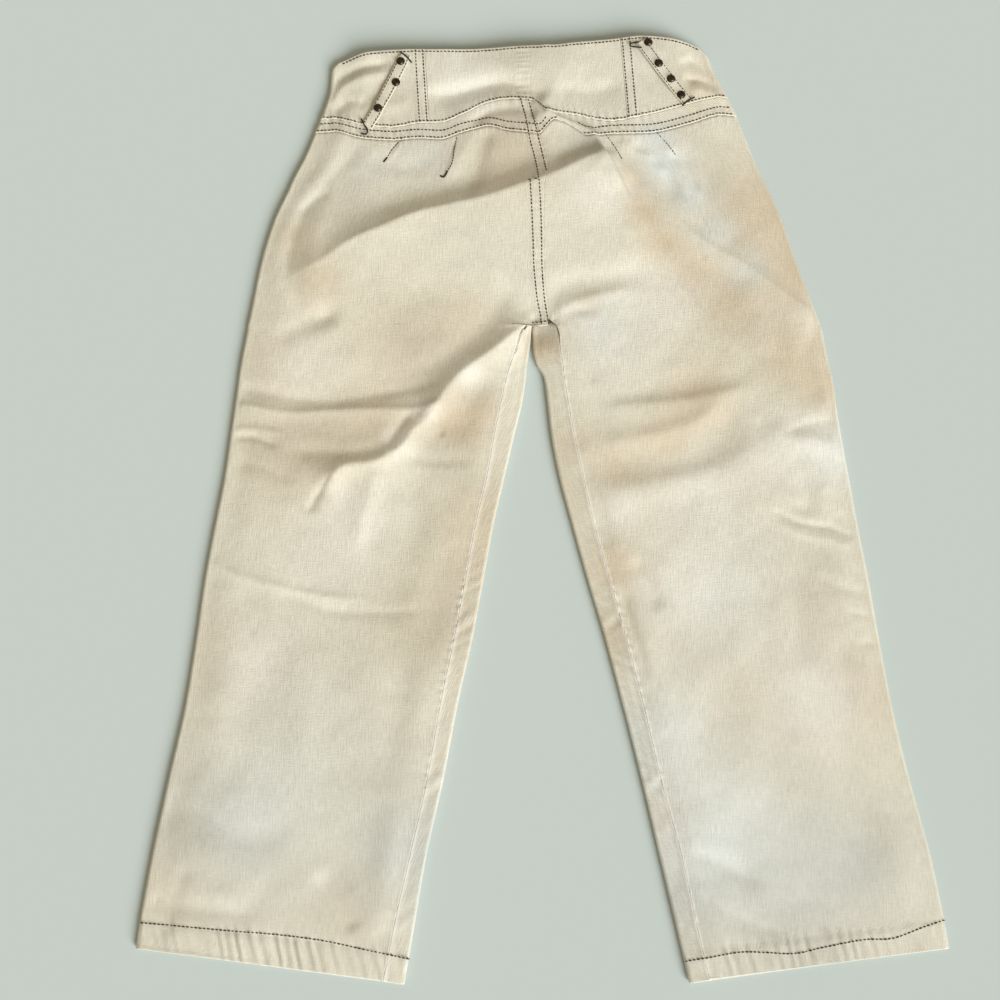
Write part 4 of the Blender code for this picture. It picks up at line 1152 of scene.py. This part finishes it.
def sewRows(name, rows, thread, pitch=3.4, length=3.05, width=1.3, height=0.9, sway=0.09):
    # rows holds a list of (points, normals), each laid along one row
    points = np.concatenate([row[0] for row in rows])
    normals = np.concatenate([row[1] for row in rows])
    edges, start = [], 0
    for row in rows:
        edges += [(start + k, start + k + 1) for k in range(len(row[0]) - 1)]
        start += len(row[0])
    mesh = bpy.data.meshes.new(name + "Path")
    mesh.from_pydata((points + shift) * metre, edges, [])
    layer = mesh.attributes.new("up", "FLOAT_VECTOR", "POINT")
    layer.data.foreach_set("vector", normals.astype(np.float32).ravel())
    thing = bpy.data.objects.new(name, mesh)
    bpy.context.collection.objects.link(thing)
    modifier = thing.modifiers.new("stitches", "NODES")
    modifier.node_group = rowTree
    values = dict(Pitch=pitch, Length=length, Width=width, Height=height)
    for label, value in values.items():
        modifier[rowSockets[label]] = value * metre
    modifier[rowSockets["Sway"]] = sway
    modifier[rowSockets["Thread"]] = thread
    return realMesh(thing)


def realMesh(thing):
    # the evaluated object becomes a plain mesh, and its modifiers go
    bpy.context.view_layer.update()
    graph = bpy.context.evaluated_depsgraph_get()
    evaluated = thing.evaluated_get(graph)
    made = bpy.data.meshes.new_from_object(evaluated, preserve_all_data_layers=True, depsgraph=graph)
    thing.modifiers.clear()
    thing.data = made
    return thing


def topRow(line, lift=0.12):
    line = roundedPath(line, 2.0)
    return onTop(line[:, 0], line[:, 1], lift)


def followRow(name, offset, ends, step=2.5, lift=0.12):
    # a row that runs along one of the waist's lines
    x = np.arange(ends[0], ends[1], step)
    return onTop(x, waistLine(name, x) + offset, lift)


def loopRow(word, across, start, end, lift=0.12):
    along = np.linspace(start, end, 40)
    crown = loops["crown"] * (1 - (across / loops["width"] * 2) ** 2)
    points = loopSurface(word, along, np.full_like(along, across), crown + lift)
    return points, np.tile([0.0, 0.0, 1.0], (len(along), 1))


print("panels")
root = "root"


def finishCloth(thing, node, material=twillCloth):
    thing.data.materials.append(material)
    paintTint(thing)
    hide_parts(node)
    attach(thing, root)


for word, side in (("left", -1), ("right", 1)):
    capital = word.capitalize()
    finishCloth(backPanel("backPanel" + capital, side), "back_panel_" + word)
    finishCloth(frontPanel("frontPanel" + capital, side), "front_panel_" + word)
    finishCloth(yokePiece("yoke" + capital, side), "yoke_" + word)
    finishCloth(bandSide("waistband" + capital, side), "waistband_" + word)
    finishCloth(beltLoop("beltLoop" + capital, word), "belt_loop_" + word)
finishCloth(bandBack("waistbandBack"), "waistband_back")
finishCloth(flyStrip("flyShield", *fly["shield"]), "fly_shield")
finishCloth(flyStrip("zipTape", *fly["tape"]), "zip", zipTape)

print("stitches")


def finishTrim(thing, slot, *nodes):
    if nodes:
        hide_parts(*nodes)
    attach(thing, root)


seatRows = [
    [(-14, 356), (-10, 339), (-6, 316), (-1, 294), (2, 269), (3.5, 240), (4, 211), (4.2, 192), (6, 165),
     (8.5, 149), (10, 140)],
    [(-7, 355), (-2, 334), (2, 316), (6, 297), (8.5, 283)],
    [(-6, 270), (-4.5, 240), (-3.5, 211), (-3, 192), (-0.5, 165), (2.5, 149), (3.5, 140.5)],
    [(-6.5, 272), (-1, 272.5)],
    [(-4, 141), (10.5, 142.2)],
]
hemLines = [
    [(-324, -375), (-300, -377), (-256, -381), (-216, -384), (-176, -389), (-142, -396), (-108, -403)],
    [(117, -405), (136, -402), (160, -398), (179, -398), (204, -399), (224, -395), (244, -391), (263, -388),
     (285, -387), (308, -379), (327, -373)],
]
waistRows = [
    followRow("top", -2.8, (-178, 150)), followRow("bandLow", 2.0, (-195, 173)),
    followRow("yokeLow", 8.8, (-197, 8.5)), followRow("yokeLow", 8.4, (39, 177)),
    followRow("yokeLow", 1.8, (-200, 19)), followRow("yokeLow", 1.8, (44, 180)),
]
for side in (-1, 1):
    for inset in (2.0, 2.0 + seams["twin"]):
        row = np.linspace(0.03, 0.97, 40)
        x = bandJoin(side, row) + side * inset
        low = waistLine("bandLow", x)
        waistRows.append(onTop(x, low + row * (waistLine("top", x) - low), 0.12))
dartRows = [topRow(line) for line in darts]
loopRows = [loopRow(word, across, 0.03, 0.97) for word in ("left", "right") for across in (-4.0, 4.0)]
finishTrim(sewRows("seatStitches", [topRow(line) for line in seatRows], brownThread), "cream_twill")
finishTrim(sewRows("waistStitches", waistRows, brownThread), "cream_twill")
finishTrim(sewRows("hemStitches", [topRow(line) for line in hemLines], brownThread), "cream_twill")
finishTrim(sewRows("dartStitches", dartRows, brownThread, 2.8, 3.0, 1.0, 0.7), "cream_twill")
finishTrim(sewRows("loopStitches", loopRows, brownThread, width=0.9), "cream_twill")


def underRow(line, lift=0.05):
    # a row on the underside, which lies on the surface below
    line = roundedPath(line, 2.0)
    points = np.stack([line[:, 0], line[:, 1], bottomHeight(line[:, 0], line[:, 1]) - lift], -1)
    return points, np.tile([0.0, 0.0, -1.0], (len(line), 1))


def underBand(name, offset, start, end):
    x = np.linspace(start, end, 60)
    return underRow(np.stack([x, frontLine(name, x) + offset], -1))


underRows = [underRow(line) for line in hemLines]
for name, offset in (("top", -2.8), ("bandLow", 2.0)):
    underRows += [underBand(name, offset, -172, 14), underBand(name, offset, 24, 146)]
for inset in (30.0, 30.0 - seams["twin"]):
    middle, low = closure["middle"], frontLevels["bandLow"] - 116 - inset / 4
    curve = [(inset, 325), (inset, 290), (inset, 250), (inset * 0.9, low + 24), (inset * 0.5, low + 7),
             (2, low)]
    underRows.append(underRow([(middle - out, level) for out, level in curve]))
finishTrim(sewRows("undersideStitches", underRows, brownThread, height=0.5), "cream_twill")

tackLines = dict(
    onLoops=([(-160, 336), (-157, 330), (-154, 325), (-156, 321), (-160, 322)],
             [(-125, 403), (-120, 399), (-115, 393)],
             [(87, 412), (95, 414)], [(88, 409), (97, 408)], [(134, 350), (140, 355), (145, 358)]),
    onDarts=([(-81, 284), (-84, 279), (-87, 280)], [(-136, 299), (-139, 295)]),
)
tacks = [topRow(line, 0.3) for line in tackLines["onDarts"]]
for line in tackLines["onLoops"]:
    points, normals = topRow(line)
    tacks.append((points + (0, 0, loops["thick"] + 0.6), normals))
finishTrim(sewRows("barTacks", tacks, blackThread, 0.8, 1.4, 1.9, 1.0, sway=0.45), "dark_bronze")

print("rivets and closure")
rivet = dict(radius=3.9, height=2.1, turns=24, foot=0.15)
# the cap's section: shares of the radius and of the height
capSection = [(1.0, 0.0), (1.03, 0.12), (1.0, 0.3), (0.93, 0.42), (0.9, 0.4), (0.86, 0.46), (0.74, 0.72),
              (0.55, 0.9), (0.3, 0.98), (0.12, 1.0)]


def rivetCap(name):
    # one cap, turned round its middle
    count = rivet["turns"]
    turns = 2 * math.pi * np.arange(count) / count
    rings = [np.stack([rivet["radius"] * reach * np.cos(turns), rivet["radius"] * reach * np.sin(turns),
                       np.full_like(turns, rivet["height"] * height)], -1) for reach, height in capSection]
    points = np.concatenate([*rings, [(0, 0, rivet["height"])]])
    faces = [list(range(count))[::-1]]
    for ring in range(len(capSection) - 1):
        for k in range(count):
            a, b = ring * count + k, ring * count + (k + 1) % count
            faces.append([a, b, b + count, a + count])
    crown = (len(capSection) - 1) * count
    faces += [[crown + k, crown + (k + 1) % count, crown + count] for k in range(count)]
    return makeObject(name, points - shift, faces)


def rivetTree():
    # lays the cap on every point
    tree = bpy.data.node_groups.new("rivetPlaces", "GeometryNodeTree")
    face = tree.interface
    face.new_socket("Geometry", in_out="INPUT", socket_type="NodeSocketGeometry")
    sockets = {}
    for label, kind in (("Cap", "NodeSocketObject"), ("Metal", "NodeSocketMaterial")):
        sockets[label] = face.new_socket(label, in_out="INPUT", socket_type=kind).identifier
    face.new_socket("Geometry", in_out="OUTPUT", socket_type="NodeSocketGeometry")
    nodes, links = tree.nodes, tree.links
    given = nodes.new("NodeGroupInput")
    result = nodes.new("NodeGroupOutput")
    cap = nodes.new("GeometryNodeObjectInfo")
    placed = nodes.new("GeometryNodeInstanceOnPoints")
    real = nodes.new("GeometryNodeRealizeInstances")
    finish = nodes.new("GeometryNodeSetMaterial")
    links.new(given.outputs["Cap"], cap.inputs["Object"])
    links.new(given.outputs["Geometry"], placed.inputs["Points"])
    links.new(cap.outputs["Geometry"], placed.inputs["Instance"])
    links.new(placed.outputs["Instances"], real.inputs["Geometry"])
    links.new(real.outputs["Geometry"], finish.inputs["Geometry"])
    links.new(given.outputs["Metal"], finish.inputs["Material"])
    links.new(finish.outputs["Geometry"], result.inputs["Geometry"])
    return tree, sockets


def rivetFoot(word, place):
    # the point of a loop's outer face under the middle of a rivet
    first, _, last = [np.array(spot, float) for spot in loops[word]]
    run = last - first
    along = np.array(np.dot(np.array(place) - first, run) / np.dot(run, run))
    square = np.array([-run[1], run[0]]) / np.linalg.norm(run)
    offset = np.dot(np.array(place) - loopPlace(word, along, np.array(0.0)), square)
    height = loopSurface(word, np.array([along]), np.array([offset]), rivet["foot"])[0, 2]
    return [*place, height]


def setRivets(name):
    feet = np.array([rivetFoot(word, place) for word, places in rivetPlaces.items() for place in places])
    mesh = bpy.data.meshes.new(name + "Feet")
    mesh.from_pydata((feet + shift) * metre, [], [])
    thing = bpy.data.objects.new(name, mesh)
    bpy.context.collection.objects.link(thing)
    tree, sockets = rivetTree()
    cap = rivetCap("rivetCap")
    modifier = thing.modifiers.new("rivets", "NODES")
    modifier.node_group = tree
    modifier[sockets["Cap"]] = cap
    modifier[sockets["Metal"]] = bronze
    realMesh(thing)
    bpy.data.objects.remove(cap)
    return thing


nodeNames = [f"rivet_{word}_{k + 1}" for word, places in rivetPlaces.items() for k in range(len(places))]
finishTrim(setRivets("rivets"), "dark_bronze", *nodeNames)

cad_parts["button"].data.materials.clear()
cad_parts["button"].data.materials.append(bronze)

teeth = []
_, tapeLength, tapeTop, _ = fly["tape"]
pitch = fly["toothPitch"]
for side in (-1, 1):
    along = np.arange(13 + side * pitch / 4, tapeLength - 6, pitch / 2)
    x, y, height = flyPlace(np.full_like(along, side * 0.9), along)
    teeth.append((np.stack([x, y, height + tapeTop], -1), np.tile([0.0, 0.0, 1.0], (len(along), 1))))
long, wide, high = fly["toothSize"]
finishTrim(sewRows("zipTeeth", teeth, bronze, pitch, long, wide, high, sway=0.0), "dark_bronze")
slider = zipSlider("zipSlider")
slider.data.materials.append(bronze)
finishTrim(slider, "dark_bronze")

print("stage")
stageLook = dict(
    floor=(0.585, 0.668, 0.672), floorHalf=6.0,
    ambient=0.385, ambientColour=(1.0, 0.87, 0.64),
    keyStrength=3.85, keyColour=(0.985, 1.0, 0.995), keySoftness=34,
    keyTurn=36, keyHeight=29,  # where the light comes from, in degrees
)
floorMesh = bpy.data.meshes.new("floor")
half = stageLook["floorHalf"]
floorCorners = [(-half, -half, 0), (half, -half, 0), (half, half, 0), (-half, half, 0)]
floorMesh.from_pydata(floorCorners, [], [(0, 1, 2, 3)])
floor = bpy.data.objects.new("floor", floorMesh)
bpy.context.collection.objects.link(floor)
floorPaint, _, _, floorShader = newMaterial("floorPaint", 0.95, 0.0)
floorShader.inputs["Base Color"].default_value = (*stageLook["floor"], 1)
floorMesh.materials.append(floorPaint)

world = bpy.data.worlds.new("studio")
world.use_nodes = True
background = world.node_tree.nodes["Background"]
background.inputs["Color"].default_value = (*stageLook["ambientColour"], 1)
background.inputs["Strength"].default_value = stageLook["ambient"]
bpy.context.scene.world = world

light = bpy.data.lights.new("keyLight", "SUN")
light.energy = stageLook["keyStrength"]
light.angle = math.radians(stageLook["keySoftness"])
light.color = stageLook["keyColour"]
key = bpy.data.objects.new("keyLight", light)
bpy.context.collection.objects.link(key)
turn, height = math.radians(stageLook["keyTurn"]), math.radians(stageLook["keyHeight"])
towards = Vector((math.sin(turn) * math.cos(height), -math.cos(turn) * math.cos(height), math.sin(height)))
key.rotation_euler = towards.to_track_quat("Z", "Y").to_euler()

view = dict(target=(-33.3, -19.6, 0.0), elevation=76.0, distance=1400.0, lens=58.0, sensor=36.0)
cameraData = bpy.data.cameras.new("camera")
cameraData.lens = view["lens"]
cameraData.sensor_width = view["sensor"]
camera = bpy.data.objects.new("camera", cameraData)
bpy.context.collection.objects.link(camera)
tilt = math.radians(view["elevation"])
target = Vector((np.array(view["target"]) + shift) * metre)
away = Vector((0, -math.cos(tilt), math.sin(tilt)))
camera.location = target + away * view["distance"] * metre
camera.rotation_euler = away.to_track_quat("Z", "Y").to_euler()
bpy.context.scene.camera = camera
bpy.context.scene.view_settings.view_transform = "Standard"
